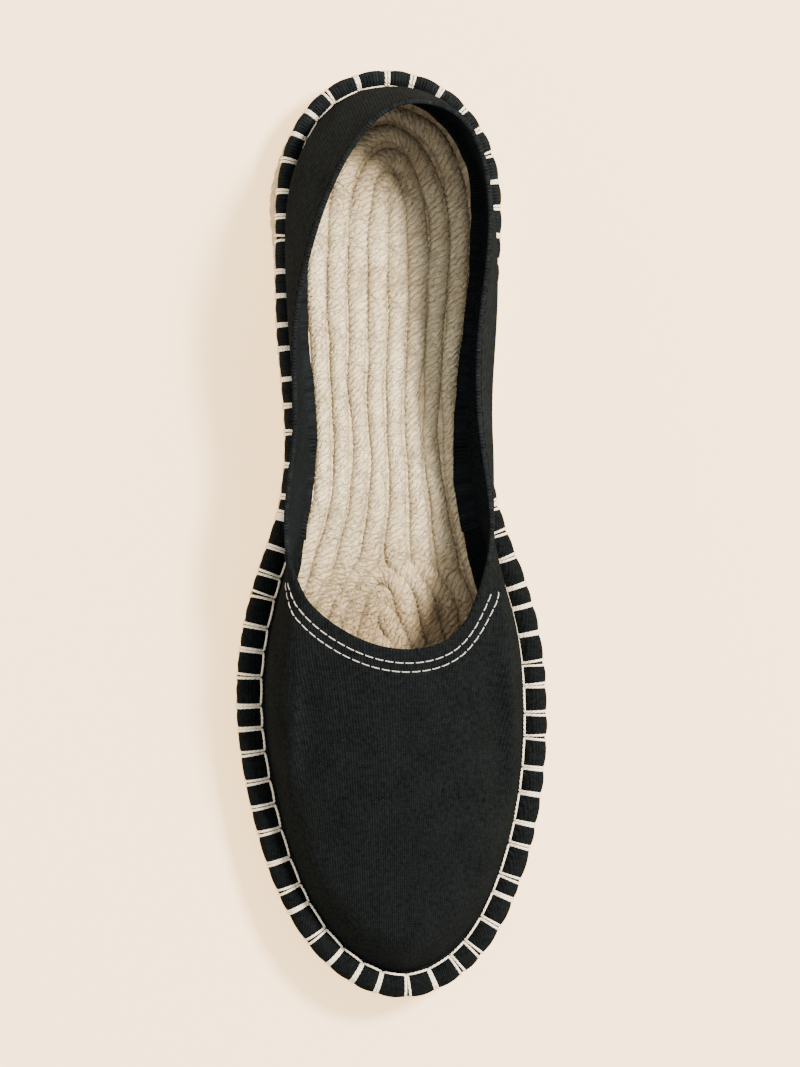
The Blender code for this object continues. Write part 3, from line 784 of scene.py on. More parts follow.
# %% Canvas shells
STATION_STEP = 0.75
EDGE_ROUND, EDGE_POINTS = 0.9, 5
LAP_START = 9.0
VALLEY_DEPTH, VALLEY_MIDDLE, VALLEY_HEIGHT, VALLEY_START = 1.5, 8.0, 10.0, 1.5
PUCKER_DEPTH, PUCKER_HEIGHT = 0.45, 2.5
CALM_EDGE = 4.2
INSIDE_SHARE = 0.8
QUARTER_TUCK, QUARTER_TUCK_IN, TUCK_FADE, TUCK_SINK_HEIGHT = 4.0, 0.6, 6.0, 2.0
DROP_SHARE = 0.8


def rounded_edge(outer, inner, upwards):
    """Half a circle over the wall's thickness, from its outer to its inner top point."""
    middle, half = (outer + inner) / 2, (outer - inner) / 2
    turn = np.linspace(0, math.pi, EDGE_POINTS + 2)[1:-1][None, :, None]
    thick = np.linalg.norm(half, axis=1)[:, None, None]
    return middle[:, None] + half[:, None] * np.cos(turn) + upwards[:, None] * thick * np.sin(turn)


def canvas_shell(name, first, last, wall, lap, tuck, unroll, material):
    """The closed section of hem and wall carried from one arc to another, capped at its ends."""
    arcs = np.linspace(first, last, round((last - first) / STATION_STEP))
    place = station(walk_at_arc(arcs))
    puffed = pillow(arcs)
    from_end = np.minimum(arcs - first, last - arcs)
    rounded = np.sqrt(np.clip(1 - np.clip(1 - from_end / EDGE_ROUND, 0, 1) ** 2, 0, 1))
    tucked = smooth_step(1 - from_end / TUCK_FADE) * tuck
    section = hem_section(place.plan[:, 1], puffed)
    section[..., 0] += tucked[:, None]
    section[..., 1] -= np.clip(section[..., 1] / TUCK_SINK_HEIGHT, 0, 1) * tucked[:, None]
    lines = wall_lines(place)
    normal = outward_normals(lines)
    up = lines[..., 2] - lines[:, :1, 2]
    down = lines[:, -1:, 2] - lines[..., 2]
    pucker = -PUCKER_DEPTH * (1 - puffed)[:, None] * bell(up, PUCKER_HEIGHT)
    valley = bell(up - VALLEY_MIDDLE, VALLEY_HEIGHT) * smooth_step(up / VALLEY_START)
    valley *= -VALLEY_DEPTH * vamp_weight(place.plan[:, 1])[:, None]
    soft = fold_height(lines[..., :2]) * (1 - bell(down, CALM_EDGE)) + pucker + valley
    above = smooth_step(np.linspace(0, LAP_START, WALL_STEPS + 1))
    outer = lines + normal * (lap * rounded[:, None] * above + soft)[..., None]
    inner = lines - normal * (wall - soft * INSIDE_SHARE)[..., None]
    edge = rounded_edge(outer[:, -1], inner[:, -1], unit(outer[:, -1] - outer[:, -3]))
    below = underside(place, wall, flap_reach(place, arcs), tucked)
    grid = np.concatenate([stand_up(place, section), outer[:, 1:], edge, inner[:, :1:-2], below], axis=1)
    cloth = unroll(place, arcs, grid)
    cloth = np.concatenate([cloth, cloth[:, :1]], axis=1)
    piece = make_piece(name, [grid_faces(grid[None], cloth[None], caps=True)], material)
    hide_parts("upper")
    return outer, normal


def unroll_vamp(place, arcs, grid):
    """Cloth coordinates of the vamp: the plan, pushed outwards by the drop down its sides."""
    drop = np.clip(INSTEP_HEIGHT + sole_top(0.0) - grid[..., 2], 0, None) * DROP_SHARE
    return grid[..., :2] - place.inward[:, None] * drop[..., None]


def unroll_quarter(place, arcs, grid):
    """Cloth coordinates of the quarter: the length round the shoe and the height."""
    return pairs(arcs[:, None], grid[..., 2])


vamp_wall = VAMP_WALL - VAMP_LAP
vamp_outer, vamp_normal = canvas_shell(
    "vamp_canvas", outer_seam_arc, inner_seam_arc, vamp_wall, VAMP_LAP, 0.0, unroll_vamp, vamp_cloth
)
first, last = inner_seam_arc - QUARTER_TUCK, outer_seam_arc + PERIMETER + QUARTER_TUCK
quarter_outer, quarter_normal = canvas_shell(
    "quarter_canvas", first, last, QUARTER_WALL, 0.0, QUARTER_TUCK_IN, unroll_quarter, quarter_cloth
)

# %% [markdown]
# ## Jute
# Jute is a stiff, hairy bast fibre. Its yarns are laid up into a soft rope, and the rope is
# coiled on edge and sewn through to make the sole. The eye sees pale straw with darker threads
# of shade between the yarns, streaks that run with the fibre, and loose hairs. That shade, in
# the creases between yarns and in the hollows between ropes, is painted into the colour. The
# streaks are noise that is stretched along the lay of the yarn, on the rope's own coordinates.
# The ends of the footbed are painted darker than its middle, from the shoe's own space: painted
# shade under the vamp at the throat and under the heel wall at the heel, where the fibre is
# also a little darker.

# %% Jute material
ROPE_LAY = 14.0
ROPE_STRANDS = 7
ROPE_RADIUS = 2.9
YARN_WOBBLE, WOBBLE_MM = 5.6, 2.6
FIBRE_LONG_MM, FIBRE_WIDE_MM = 2.6, 0.26
FIBRE_IN_CREASE, FIBRE_IN_RELIEF, FIBRE_IN_GROOVE_SHADE = 1.1, 0.9, 0.34
PATCH_MM = 14.0


def laid_jute(name, shade, straw, bleached, turn, waves_along, waves_round, round_share):
    """Jute yarn: painted shade in the creases between yarns and in the hollows between ropes, noise drawn
    out as fibres.

    A crease lies where the cosine of the wave's phase nears zero. The phase grows with the
    two cloth coordinates, so that the creases wind round the rope with its yarns. The round
    share turns the distance from the rope's crest into 0 there and 1 at its side.
    """
    material, shader, node = new_material(name)
    rope = node("UVMap", {"uv_map": "cloth"})
    along = node("SeparateXYZ", {0: rope}, "X")
    around = node("SeparateXYZ", {0: rope}, "Y")
    even = node("Math", {"operation": "MULTIPLY", 0: along, 1: waves_along})
    wobble = node("TexNoise", {"Scale": 1 / WOBBLE_MM, "Detail": 2.0, "Vector": rope})
    loose = node("Math", {"operation": "MULTIPLY_ADD", 0: wobble, 1: YARN_WOBBLE, 2: even})
    phase = node("Math", {"operation": "MULTIPLY_ADD", 0: around, 1: waves_round, 2: loose})
    wave = node("Math", {"operation": "COSINE", 0: phase})
    yarn = node("Math", {"operation": "ABSOLUTE", 0: wave})
    stretched = {"Rotation": (0.0, 0.0, turn), "Scale": (FIBRE_LONG_MM, FIBRE_WIDE_MM, 1.0)}
    laid = node("Mapping", {"vector_type": "TEXTURE", **stretched, "Vector": rope})
    noise = {"Scale": 1.0, "Detail": 6.0, "Roughness": 0.68, "Distortion": 1.1}
    fibre = node("TexNoise", {**noise, "Vector": laid})
    tint = node("ValToRGB", {"stops": ((0.28, shade), (0.50, straw), (0.72, bleached)), "Fac": fibre})
    # Painted shade: the creases between yarns, where the wave nears zero, are painted darker.
    uneven = node("Math", {"operation": "MULTIPLY_ADD", 0: fibre, 1: FIBRE_IN_CREASE, 2: yarn})
    crease_shade_stops = ((0.35, "#8A8272"), (0.80, "#E3DDCF"), (1.15, "#FFFFFF"))
    crease_shade = node("ValToRGB", {"stops": crease_shade_stops, "Fac": uneven})
    space = node("TexCoord", {}, "Object")
    patch = node("TexNoise", {"Scale": 1 / (PATCH_MM * MM), "Detail": 3.0, "Vector": space})
    dull = node("ValToRGB", {"stops": ((0.30, "#DED6CC"), (0.62, "#FFFFFF")), "Fac": patch})
    # Painted shade: darker towards the throat, under the vamp, and towards the heel, under the heel wall,
    # where the fibre is also a little darker.
    lengthwise = node("SeparateXYZ", {0: space}, "Y")
    share = {"operation": "MULTIPLY_ADD", 1: 1 / (SHOE_LENGTH * MM), 2: 0.5}
    from_toe = node("Math", {**share, 0: lengthwise})
    end_shade_stops = ((0.41, "#C9BEB3"), (0.52, "#FFFFFF"), (0.80, "#FFFFFF"), (0.93, "#D4CDC8"))
    ends = node("ValToRGB", {"stops": end_shade_stops, "Fac": from_toe})
    # Painted shade: the rope's sides, down in the hollows between ropes, are painted darker.
    away = node("Math", {"operation": "ABSOLUTE", 0: around})
    sideways = node("Math", {"operation": "MULTIPLY", 0: away, 1: round_share})
    edge = node("Math", {"operation": "MULTIPLY_ADD", 0: fibre, 1: FIBRE_IN_GROOVE_SHADE, 2: sideways})
    groove_shade_stops = ((0.63, "#FFFFFF"), (0.87, "#B5ADA2"), (1.04, "#3F3A35"))
    dust_and_shade = node("ValToRGB", {"stops": groove_shade_stops, "Fac": edge})
    colour = tint
    for strength, layer in ((0.80, crease_shade), (0.7, dull), (1.0, ends), (1.0, dust_and_shade)):
        layered = {"Fac": strength, "Color1": colour, "Color2": layer}
        colour = node("MixRGB", {"blend_type": "MULTIPLY", **layered})
    relief = node("Math", {"operation": "MULTIPLY_ADD", 0: fibre, 1: FIBRE_IN_RELIEF, 2: yarn})
    bump = node("Bump", {"Strength": 0.85, "Distance": 0.0006, "Height": relief})
    dry = {"Roughness": 0.95, "Specular IOR Level": 0.15, "Sheen Weight": 0.15}
    set_up(shader, {"Base Color": colour, "Normal": bump, **dry})
    return material


lay_angle = math.atan2(2 * math.pi * ROPE_RADIUS, ROPE_LAY)
waves_along = -math.pi * ROPE_STRANDS / ROPE_LAY
waves_round = ROPE_STRANDS / (2 * ROPE_RADIUS)
round_share = 2 / (math.pi * ROPE_RADIUS)
rope_jute = laid_jute(
    "laid_jute_rope", "#958666", "#ECDDB8", "#FFF7DE", lay_angle, waves_along, waves_round, round_share
)
side_jute = laid_jute("plaited_jute_edge", "#8E7B5C", "#CFBE9A", "#EADFC4", 0.0, 0.0, 0.0, 0.0)

# %% [markdown]
# ## The coil's paths
# A rope that is wound round and round a sole lies in rings at even depths from the edge. A line
# runs from each outline point to the middle of the sole, and the rings cut it at steps of one
# rope. Four ropes fit between edge and middle at the waist and the heel. The wider forefoot has
# room for three short loops more, nested inside the fourth. Where they end, towards the waist,
# they turn in half circles, and the four rings part round them.

# %% Rays and rings
HEEL_TURN, TOE_TURN = 35.0, 46.2
RINGS, LOOPS = 4, 3
FORE_PITCH, LOOP_PITCH = 4.8, 5.4
LOBE_CENTRE, LOBE_PARTING, LOBE_POWER, LOBE_STRETCH = -18.0, 1.2, 0.8, 1.1
SPINE_SHIFT, SPINE_SHIFT_AT, SPINE_SHIFT_WIDTH = -4.0, -24.0, 20.0
HALF_RAYS = 480


def sole_rays(half):
    """Stations round the shoe in mirrored pairs, the middle line's points and their reach.

    A middle point is the mean of a pair, and its reach the distance to the nearest outline.
    """
    outer = walk_at_arc(np.linspace(0, station(2.0).arc, half + 1))
    outer[-1] = 2.0
    walk = np.concatenate([outer, 4 - outer[-2:0:-1]])
    place = station(walk)
    middle = (place.plan + station(4 - walk).plan) / 2
    share = (middle[:, 1] - middle[:, 1].min()) / np.ptp(middle[:, 1])
    middle[:, 1] = mix(TOE_TURN - SHOE_LENGTH / 2, SHOE_LENGTH / 2 - HEEL_TURN, share)
    middle[:, 0] += SPINE_SHIFT * bell(middle[:, 1] - SPINE_SHIFT_AT, SPINE_SHIFT_WIDTH)
    apart = np.linalg.norm(middle[:, None] - place.plan[None], axis=2)
    return place, middle, apart.min(axis=1)


ray, middle, reach = sole_rays(HALF_RAYS)
heel_to_toe = slice(HALF_RAYS, None, -1)
lobe_reach = np.interp(LOBE_CENTRE, middle[heel_to_toe, 1], reach[heel_to_toe])
lobe_radius = lobe_reach - SEAT - RINGS * FORE_PITCH
above = np.clip(middle[:, 1] - LOBE_CENTRE, 0, LOBE_PARTING * lobe_radius)
parted = lobe_radius * np.cos(math.pi / 2 * above / (LOBE_PARTING * lobe_radius)) ** LOBE_POWER
pitch = np.where(above > 0, (reach - SEAT - parted) / RINGS, FORE_PITCH)
stretch = np.linalg.norm(middle - ray.plan, axis=1) / reach


def closed_run(depth, width):
    """The ring at a depth: points on the rays that reach it, with the rope's width at each."""
    inside = depth < reach
    plan = mix(ray.plan, middle, (depth / reach)[:, None])
    return np.column_stack([plan, width * stretch])[inside]


def lobe_loop(depth):
    """A loop at a depth inside the fourth ring, with a half circle as its end at the waist."""
    radius = max(lobe_radius - depth, 0)
    half = np.sqrt(np.clip(radius**2 - (above / LOBE_STRETCH) ** 2, 0, None))
    ray_depth = np.where(above > 0, reach - half, SEAT + RINGS * FORE_PITCH + depth)
    return closed_run(ray_depth, LOOP_PITCH)


rings = [closed_run(SEAT + (k + 0.5) * pitch, pitch) for k in range(RINGS)]
loops = [lobe_loop((k + 0.5) * LOOP_PITCH) for k in range(LOOPS)]
print(f"lobe radius {lobe_radius:.1f} mm, points on the loops {[len(r) for r in loops]}")

# %% [markdown]
# ## Rope
# The rope is a profile carried along each ring. The profile is the upper part of an oval, and
# its radius swells over each yarn: the cosine of the angle round the rope, less a turn that
# grows along it, makes the yarns wind. The ring is stepped evenly first and rounded a little,
# so that the yarns are even too. Slow waves along the rope let it wander and breathe.

# %% Ropes of the footbed
ROPE_STEP, ROPE_SIDES = 0.45, 22
ROPE_WRAP, ROPE_UNDER = math.radians(112), 2.2
ROPE_DEPTH = 3.9
YARN_RELIEF, YARN_ROUND = 0.17, 0.6
WANDER, BREATH, LAY_SWAY, HEIGHT_SWAY = 0.42, 0.05, 0.16, 0.12
WANDER_LENGTHS, WANDER_SHARES = np.array([43.0, 27.0, 15.0]), np.array([0.6, 0.3, 0.2])
# Each rope's pattern starts at a random length up to this one.
ROPE_START = 900.0
BELL_STEPS = np.arange(-30, 31)
# How far each rope's corners are rounded, and how deep it lies, from the outermost inwards.
SOFTEN, SINK = (1.6, 1.6, 2.6, 3.2, 2.4, 2.4, 2.4), (0.1, 0.0, 0.1, 0.0, 0.2, 0.1, 0.2)


def even_steps(path, soften):
    """A closed path stepped evenly, then averaged with its neighbours along a bell curve."""
    closed = np.vstack([path, path[:1]])
    length = lengths_along(closed[:, :2])
    count = round(length[-1] / ROPE_STEP)
    stepped = read_off(np.arange(count) / count * length[-1], length, closed)
    weights = bell(BELL_STEPS * ROPE_STEP, soften)
    around = (np.arange(count)[:, None] + BELL_STEPS) % count
    return np.einsum("ijk,j->ik", stepped[around], weights / weights.sum()), length[-1]


def rope_along(path, soften, sink):
    """The yarned profile carried along a closed path of x, y and rope width."""
    path, length = even_steps(path, soften)
    count = len(path)
    along = unit(np.roll(path[:, :2], -1, axis=0) - np.roll(path[:, :2], 1, axis=0))
    right = np.column_stack([along[:, 1], -along[:, 0]])
    share = np.arange(count) / count
    waves = np.round(length / WANDER_LENGTHS)
    phase = random.uniform(0, 2 * math.pi, len(waves))
    wander = np.sin(2 * math.pi * np.outer(share, waves) + phase) @ WANDER_SHARES
    breadth = 1 + BREATH * np.sin(2 * math.pi * share * waves[1] + phase[0])
    centre = path[:, :2] + right * (wander * WANDER)[:, None]
    turns = round(length / ROPE_LAY * ROPE_STRANDS) / ROPE_STRANDS
    angle = np.linspace(-ROPE_WRAP, ROPE_WRAP, ROPE_SIDES)
    wound = angle[None] - (2 * math.pi * turns * share + LAY_SWAY * wander)[:, None]
    yarn = np.abs(np.cos(ROPE_STRANDS / 2 * wound)) ** YARN_ROUND
    radius = 1 + YARN_RELIEF * (yarn - 1)
    out = (path[:, 2] / 2 * breadth)[:, None] * np.sin(angle) * radius
    up = ROPE_DEPTH * (np.cos(angle) * radius - 1)
    height = sole_top(centre[:, 1])[:, None] + up - sink + HEIGHT_SWAY * wander[:, None]
    points = at_height(centre[:, None] + right[:, None] * out[..., None], height)
    lengthwise = np.arange(count + 1)[:, None] / count * length
    return points, pairs(lengthwise, np.append(angle, ROPE_UNDER) * ROPE_RADIUS), centre


def ropes_piece(name, paths, softened, sinks, material):
    """Several closed ropes as one piece, each rounded and sunk by its own amount."""
    parts, centres = [], []
    for path, soften, sink in zip(paths, softened, sinks):
        rope, cloth, centre = rope_along(path, soften, sink)
        cloth = cloth + np.array([random.uniform(0, ROPE_START), 0])
        parts.append(grid_faces(rope[None], cloth[None], wrap=(True, True)))
        centres.append(centre)
    piece = make_piece(name, parts, material)
    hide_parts("jute_sole")
    return np.concatenate(centres)


outer_centres = ropes_piece("footbed_outer_ropes", rings[:2], SOFTEN[:2], SINK[:2], rope_jute)
inner_centres = ropes_piece("footbed_inner_ropes", rings[2:] + loops, SOFTEN[2:], SINK[2:], rope_jute)

# %% [markdown]
# ## The jute body and its plaited edge
# Below the top ropes the sole is solid jute, and its edge shows the sides of the coil's last
# turn: two rows of yarns that lean opposite ways, like a plait. The body is one closed section
# carried round the shoe, from the middle of the top over the edge to the middle of the bottom.

# %% Jute body
SIDE_INSET, SIDE_ROWS = 0.4, 26
SIDE_RIB_DEPTH, RIB_ROUND, RIB_FLAT = 1.0, 0.7, 0.45
YARN_SPACING, YARN_LEAN, LEAN_JITTER = 4.1, 0.62, 0.05
UNDER_ROPES, SUNK_FROM, SUNK_TO = 2.3, 3.0, 1.0
HEEL_SWELL, HEEL_SWELL_ARC, HEEL_SWELL_WIDTH, HEEL_SWELL_GROWTH = 1.7, 58.0, 14.0, 3.0
BODY_HALF = 520
body_ray, body_middle, _ = sole_rays(BODY_HALF)
side_edge = HEM_SIDE_THICKNESS + LAYER_GAP


def at_top(plan, above):
    """Plan points some way above the sole's top."""
    return at_height(plan, sole_top(plan[:, 1]) + above)


edge_rows = (
    (SEAT - SUNK_TO, -UNDER_ROPES),
    (SEAT - SUNK_FROM, 0.0),
    (side_edge + JUTE_CHAMFER, 0.0),
    (side_edge, -JUTE_CHAMFER),
    (side_edge, -HEM_WRAP_DEPTH - LAYER_GAP),
)
over_the_edge = [at_top(body_middle, -UNDER_ROPES)] + [
    at_top(body_ray.plan + body_ray.inward * inset, above) for inset, above in edge_rows
]
lean = np.cumsum(random.normal(0, LEAN_JITTER, len(body_ray.arc)))
lean -= np.linspace(0, lean[-1], len(lean))
yarn_count = round(PERIMETER / YARN_SPACING)
down = np.arange(SIDE_ROWS + 1) / SIDE_ROWS
rib = np.where(down < 1, down * 2 % 1, 1.0)
leaning = np.where(down < 0.5, YARN_LEAN, -YARN_LEAN)
turn = (body_ray.arc / PERIMETER * yarn_count + lean)[:, None] + leaning * (rib - 0.5)
yarn = np.abs(np.cos(math.pi * turn)) ** YARN_ROUND
swell = np.sin(math.pi * rib) ** RIB_ROUND * mix(RIB_FLAT, 1.0, yarn)
heel_swell = HEEL_SWELL * bell(body_ray.arc - HEEL_SWELL_ARC, HEEL_SWELL_WIDTH)[:, None]
inset = SIDE_INSET + SIDE_RIB_DEPTH * (1 - swell) - heel_swell * np.minimum(1, HEEL_SWELL_GROWTH * down)
side_plan = body_ray.plan[:, None] + body_ray.inward[:, None] * inset[..., None]
y = side_plan[..., 1]
side = at_height(side_plan, mix(sole_top(y) - HEM_WRAP_DEPTH - 2 * LAYER_GAP, jute_floor(y), down))
bottom = at_height(body_middle, jute_floor(body_middle[:, 1]))
body = np.concatenate([np.stack(over_the_edge, axis=1), side, bottom[:, None]], axis=1)
cloth = pairs(body_ray.arc[:, None], body[..., 2])
cloth = np.concatenate([cloth, cloth[:1] + np.array([PERIMETER, 0])], axis=0)
body_part = grid_faces(body[None], cloth[None], wrap=(True, False))
jute_body = make_piece("jute_body", [body_part], side_jute, merge=True)
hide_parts("jute_sole")

# %% [markdown]
# ## Cotton thread
# The blanket stitch is sewn with a cotton thread of two plies, 0.8 mm thick, and the throat with
# a finer white one. The plies show as slanting bands, which a wave on the tube's own
# coordinates gives.

# %% Thread material
PLIES = 2


def twisted_thread(name, shade, light, ply_mm):
    """Plied cotton: bands that climb round the thread as bump, and as colour painted darker in the grooves
    between plies, as painted shade.
    """
    material, shader, node = new_material(name)
    wound = node("UVMap", {"uv_map": "cloth"})
    length = node("SeparateXYZ", {0: wound}, "X")
    around = node("SeparateXYZ", {0: wound}, "Y")
    along = node("Math", {"operation": "MULTIPLY", 0: length, 1: 2 * math.pi / ply_mm})
    turned = node("Math", {"operation": "MULTIPLY_ADD", 0: around, 1: 2 * math.pi * PLIES, 2: along})
    ply = node("Math", {"operation": "SINE", 0: turned})
    place = node("Math", {"operation": "MULTIPLY_ADD", 0: ply, 1: 0.5, 2: 0.5})
    # Painted shade: the colour follows the plies, darker in their grooves and lighter on their crests.
    colour = node("ValToRGB", {"stops": ((0.0, shade), (0.55, light)), "Fac": place})
    bump = node("Bump", {"Strength": 0.7, "Distance": 0.00012, "Height": ply})
    set_up(shader, {"Base Color": colour, "Normal": bump, "Roughness": 0.8, "Specular IOR Level": 0.1})
    return material


cream_thread = twisted_thread("plied_cotton_cream", "#C9BCA2", "#F1E8D6", 1.3)
white_thread = twisted_thread("plied_cotton_white", "#90908C", "#C6C5C0", 0.8)
black_thread = twisted_thread("plied_cotton_black", "#020303", "#070909", 0.8)

# %% [markdown]
# ## The blanket stitch
# Each stitch is a pair of threads that leaves the jute below the hem, climbs its edge, crosses
# the roll where it is pulled in, and goes down at the feather line. The path is the hem's own
# section at that place, raised by the thread's radius. The two threads spread a little at the
# outside.

# %% Stitch paths
THREAD_RADIUS = 0.41
THREAD_RAISE, THREAD_SPAN_STEPS = 0.75, 2
PAIR_SPREAD, PAIR_WOBBLE, SPLAY, WIDEST_SPLAY = 0.42, 0.12, 0.35, 2.2
# Inset and height of the thread where it leaves the jute, up to where it meets the hem.
ENTRY = np.array([(SIDE_INSET + 2.6, -8.2), (SIDE_INSET + 0.3, -7.9), (SIDE_INSET - 0.1, -6.2)])
DIVE = np.array([[[0.35, -1.1]]])


def raised(section, by):
    """A section's points moved square to its line by a distance, away from the jute."""
    along = unit(np.gradient(section, axis=-2))
    return section + np.stack([-along[..., 1], along[..., 0]], axis=-1) * by


def thread_paths(arcs, spread, splay):
    """One thread over the hem for each arc, moved along the edge by its spread and splay."""
    flat = station(walk_at_arc(arcs))
    section = raised(hem_section(flat.plan[:, 1], np.zeros(len(arcs))), THREAD_RADIUS * THREAD_RAISE)
    entry = np.tile(ENTRY, (len(arcs), 1, 1))
    points = np.concatenate([entry, section[:, 3:-1:2], section[:, -1:] + DIVE], axis=1)
    section = smooth_row(points, THREAD_SPAN_STEPS)
    outside = np.linspace(1, 0, section.shape[1])[None]
    place = station(walk_at_arc(arcs[:, None] + spread[:, None] + splay[:, None] * outside))
    plan = place.plan + place.inward * section[..., :1]
    height = sole_top(place.plan[..., 1]) + section[..., 1]
    across = np.stack([-place.inward[..., 1], place.inward[..., 0]], axis=-1)
    return at_height(plan, height), at_height(across, np.zeros_like(height))


wobble = random.uniform(-PAIR_WOBBLE, PAIR_WOBBLE, (2, len(bars)))
splay = SPLAY / 2 * random.uniform(0, WIDEST_SPLAY, len(bars)) ** 2
left_paths, left_beside = thread_paths(bars, wobble[0] - PAIR_SPREAD, -splay)
right_paths, right_beside = thread_paths(bars, wobble[1] + PAIR_SPREAD, splay)
paths, beside = np.concatenate([left_paths, right_paths]), np.concatenate([left_beside, right_beside])
blanket = tubes_piece("blanket_stitches", paths, beside, THREAD_RADIUS, cream_thread)

# %% [markdown]
# Along the feather line a single thread runs from stitch to stitch. Between two stitches it
# bows up on to the hem, and its ends dip, so that it reads as separate segments.

# %% The thread on the feather line
LINE_STEPS = 14
LINE_RADIUS, HEEL_LINE_RADIUS = 0.34, 0.26
LINE_FROM, LINE_SPAN, LEAST_GAP = 0.06, 0.88, 4.0
LINE_INSET, LINE_LIFT, BOW_LIFT, BOW_POWER, HEEL_SINK = 0.15, 0.6, 1.8, 0.45, 0.55
share = np.linspace(0, 1, LINE_STEPS)[None]
wide = bar_gap > LEAST_GAP
place = station(walk_at_arc(bars[wide][:, None] + bar_gap[wide][:, None] * (LINE_FROM + LINE_SPAN * share)))
y = place.plan[..., 1]
bow = np.sin(math.pi * share)
inset = hem_width(y) - LINE_INSET * (1 - bow)
height = sole_top(y) + LINE_LIFT + BOW_LIFT * bow**BOW_POWER - HEEL_SINK * (1 - vamp_weight(y))
line = at_height(place.plan + place.inward * inset[..., None], height)
thick = mix(HEEL_LINE_RADIUS, LINE_RADIUS, vamp_weight(y))
feather_thread = tubes_piece("feather_line_thread", line, UPWARDS, thick, cream_thread)

# %% [markdown]
# ## Topstitching
# The throat is turned over and sewn down with two rows of white thread, 3 mm from the edge and
# 2.7 mm apart. The quarter's edge has one row of black. A row is a line at a fixed distance
# below the edge, found by adding up lengths down each line of the wall, and each stitch on it
# is a short tube whose ends dip into the cloth.

# %% Topstitches
StitchRow = namedtuple("StitchRow", "below first last length gap bulge")
THROAT_ROWS = [StitchRow(below, 0.10, 0.90, 2.35, 0.70, 0.15) for below in (3.0, 5.7)]
COLLAR_ROWS = [StitchRow(1.9, 0.03, 0.97, 2.4, 0.7, 0.16)]
THROAT_RADIUS, COLLAR_RADIUS = 0.16, 0.18
STITCH_STEPS, STITCH_JITTER = 8, 0.05
BULGE_HEIGHT, BULGE_DIP = 1.5, 0.6


def row_below_edge(outer, normal, distance):
    """Points on the wall at a distance below its top edge, with the wall's normal there."""
    down, line = outer[:, ::-1], np.arange(len(outer))
    length = lengths_along(down)
    at = (length < distance).sum(axis=1)
    before, after = length[line, at - 1], length[line, at]
    share = ((distance - before) / (after - before))[:, None]
    return mix(down[line, at - 1], down[line, at], share), normal[:, ::-1][line, at]


def stitched(name, wall, rows, radius, material):
    """Rows of short stitches along a wall's edge, each bulging off the cloth as a root of a sine."""
    paths, outs = [], []
    for row in rows:
        points, normal = row_below_edge(*wall, row.below)
        along = lengths_along(points)
        starts = np.arange(along[-1] * row.first, along[-1] * row.last - row.length, row.length + row.gap)
        starts = starts + random.normal(0, STITCH_JITTER, len(starts))
        share = np.linspace(0, 1, STITCH_STEPS)
        places = starts[:, None] + row.length * share
        out = read_off(places, along, normal)
        bulge = row.bulge * (BULGE_HEIGHT * np.sin(math.pi * share) ** 0.5 - BULGE_DIP)
        paths.append(read_off(places, along, points) + out * bulge[:, None])
        outs.append(out)
    return tubes_piece(name, np.concatenate(paths), np.concatenate(outs), radius, material)


throat_wall, collar_wall = (vamp_outer, vamp_normal), (quarter_outer, quarter_normal)
throat_stitches = stitched("throat_topstitch", throat_wall, THROAT_ROWS, THROAT_RADIUS, white_thread)
collar_stitches = stitched("collar_topstitch", collar_wall, COLLAR_ROWS, COLLAR_RADIUS, black_thread)

# %% [markdown]
# ## Loose hairs of jute
# A jute sole is never clean-cut: fine hairs lift off the rope. Each hair is a thin tube along a
# gentle random curve that starts on the rope, rises and comes down again. All of them are one
# mesh, made from arrays.

# %% Stray fibres
HAIRS, HAIR_STEPS, HAIR_SIDES = 3400, 6, 4
HAIR_SPREAD = 2.4
HAIR_HEADING_DEG = (40, 55)
HAIR_LENGTHS, HAIR_LIFTS, HAIR_RADII = (2.5, 10.0), (0.1, 1.1), (0.035, 0.075)
HAIR_BEND, HAIR_ROUND, HAIR_ROOT = 0.9, 0.8, 0.35
centres = np.concatenate([outer_centres, inner_centres])
root = centres[random.integers(0, len(centres), HAIRS)]
root = root + random.uniform(-HAIR_SPREAD, HAIR_SPREAD, (HAIRS, 2))
heading = np.radians(random.normal(*HAIR_HEADING_DEG, HAIRS))[:, None]
long = random.uniform(*HAIR_LENGTHS, HAIRS)[:, None]
share = np.linspace(0, 1, HAIR_STEPS)[None]
heading = heading + random.normal(0, HAIR_BEND, HAIRS)[:, None] * share
away = np.stack([np.cos(heading), np.sin(heading)], axis=-1) * (long * share)[..., None]
plan = root[:, None] + away
lift = random.uniform(*HAIR_LIFTS, HAIRS)[:, None] * np.sin(math.pi * share) ** HAIR_ROUND
hair_path = at_height(plan, sole_top(plan[..., 1]) - HAIR_ROOT + lift)
thin = random.uniform(*HAIR_RADII, HAIRS)[:, None]
hairs = tubes_piece("jute_hairs", hair_path, UPWARDS, thin, rope_jute, HAIR_SIDES)

# %% [markdown]
# ## Rubber outsole
# The outsole is a sheet of crepe-like brown rubber, vulcanised on to the jute. It keeps its
# solid, and gets a dull material with a fine pebbled tread, read from the shoe's own space.

# %% Rubber material
CELL_MM, DUST_MM = 1.6, 11.0


def pebbled_rubber(name):
    """Vulcanised rubber: dull brown, with a fine pattern of cells as its tread."""
    material, shader, node = new_material(name)
    space = node("TexCoord", {}, "Object")
    cells = node("TexVoronoi", {"Scale": 1 / (CELL_MM * MM), "Vector": space}, "Distance")
    dust_and_shade = node("TexNoise", {"Scale": 1 / (DUST_MM * MM), "Detail": 5.0, "Vector": space})
    colour = node("ValToRGB", {"stops": ((0.3, "#3E3128"), (0.7, "#5C4A3C")), "Fac": dust_and_shade})
    bump = node("Bump", {"Strength": 0.6, "Distance": 0.0004, "Height": cells})
    set_up(shader, {"Base Color": colour, "Normal": bump, "Roughness": 0.72})
    return material


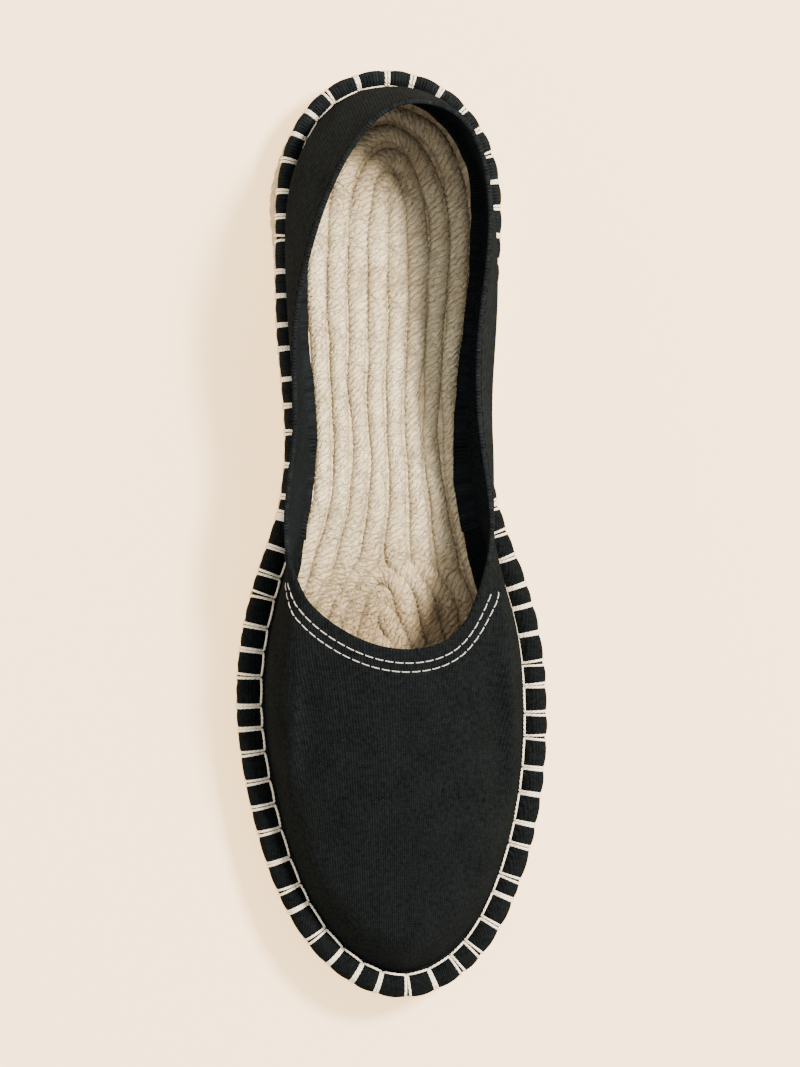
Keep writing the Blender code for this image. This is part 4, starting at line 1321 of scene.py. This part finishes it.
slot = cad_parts["rubber_outsole"].material_slots[0]
slot.link = "OBJECT"
slot.material = pebbled_rubber("vulcanised_brown_rubber")

# %% [markdown]
# ## Floor and light
# The shoe stands on a plain pale floor, which glows a little so that it comes out as bright as
# lit paper. A soft lamp from the heel's inner side gives the long soft shadow inside the heel,
# and the rest of the light comes from all round.

# %% Studio
FLOOR_HALF = 4.0
FLOOR_GLOW = 2.5
LAMP_PLACE, LAMP_SIZE, LAMP_POWER = (0.79, 0.53, 1.76), 0.32, 150.0
ROOM_LIGHT = 1.7
mesh = bpy.data.meshes.new("studio_floor")
square = [(-1, -1), (1, -1), (1, 1), (-1, 1)]
mesh.from_pydata([(x * FLOOR_HALF, y * FLOOR_HALF, 0.0) for x, y in square], [], [(0, 1, 2, 3)])
paper, shader, node = new_material("matt_paper_backdrop")
glow = {"Emission Color": linear("#FFD290"), "Emission Strength": FLOOR_GLOW}
matt = {"Base Color": linear("#C9BBA8"), "Roughness": 1.0, "Specular IOR Level": 0.0}
set_up(shader, {**matt, **glow})
mesh.materials.append(paper)
floor = bpy.data.objects.new("studio_floor", mesh)
bpy.context.scene.collection.objects.link(floor)

lamp = bpy.data.lights.new("key_lamp", "AREA")
lamp.shape = "SQUARE"
lamp.size = LAMP_SIZE
lamp.energy = LAMP_POWER
lamp.color = linear("#FFF4E4")[:3]
holder = bpy.data.objects.new("key_lamp", lamp)
holder.location = LAMP_PLACE
holder.rotation_euler = (-Vector(LAMP_PLACE)).to_track_quat("-Z", "Y").to_euler()
bpy.context.scene.collection.objects.link(holder)
world = bpy.data.worlds.new("pale_room")
world.use_nodes = True
set_up(world.node_tree.nodes["Background"], {"Color": linear("#F6F3EE"), "Strength": ROOM_LIGHT})
bpy.context.scene.world = world

# %% [markdown]
# ## Camera
# The picture is taken from almost straight above, leaning a little to the outer side, and from
# well away, because the shoe's sides show little. The lens is worked out from the shoe's
# length, so that it fills most of the picture's height.

# %% Camera
CAMERA_FAR = 2.0
CAMERA_LEAN = math.radians(4.8)
FRAME_FILL = 0.87
camera = bpy.data.cameras.new("camera")
camera.sensor_fit = "VERTICAL"
camera.sensor_height = 36.0
camera.lens = camera.sensor_height * CAMERA_FAR * FRAME_FILL / (SHOE_LENGTH * MM)
holder = bpy.data.objects.new("camera", camera)
aim = Vector((0.002, 0.0, 0.02))
holder.location = aim + CAMERA_FAR * Vector((-math.sin(CAMERA_LEAN), 0.0, math.cos(CAMERA_LEAN)))
holder.rotation_euler = (0.0, -CAMERA_LEAN, 0.0)
bpy.context.scene.collection.objects.link(holder)
bpy.context.scene.camera = holder
print(f"lens {camera.lens:.0f} mm")
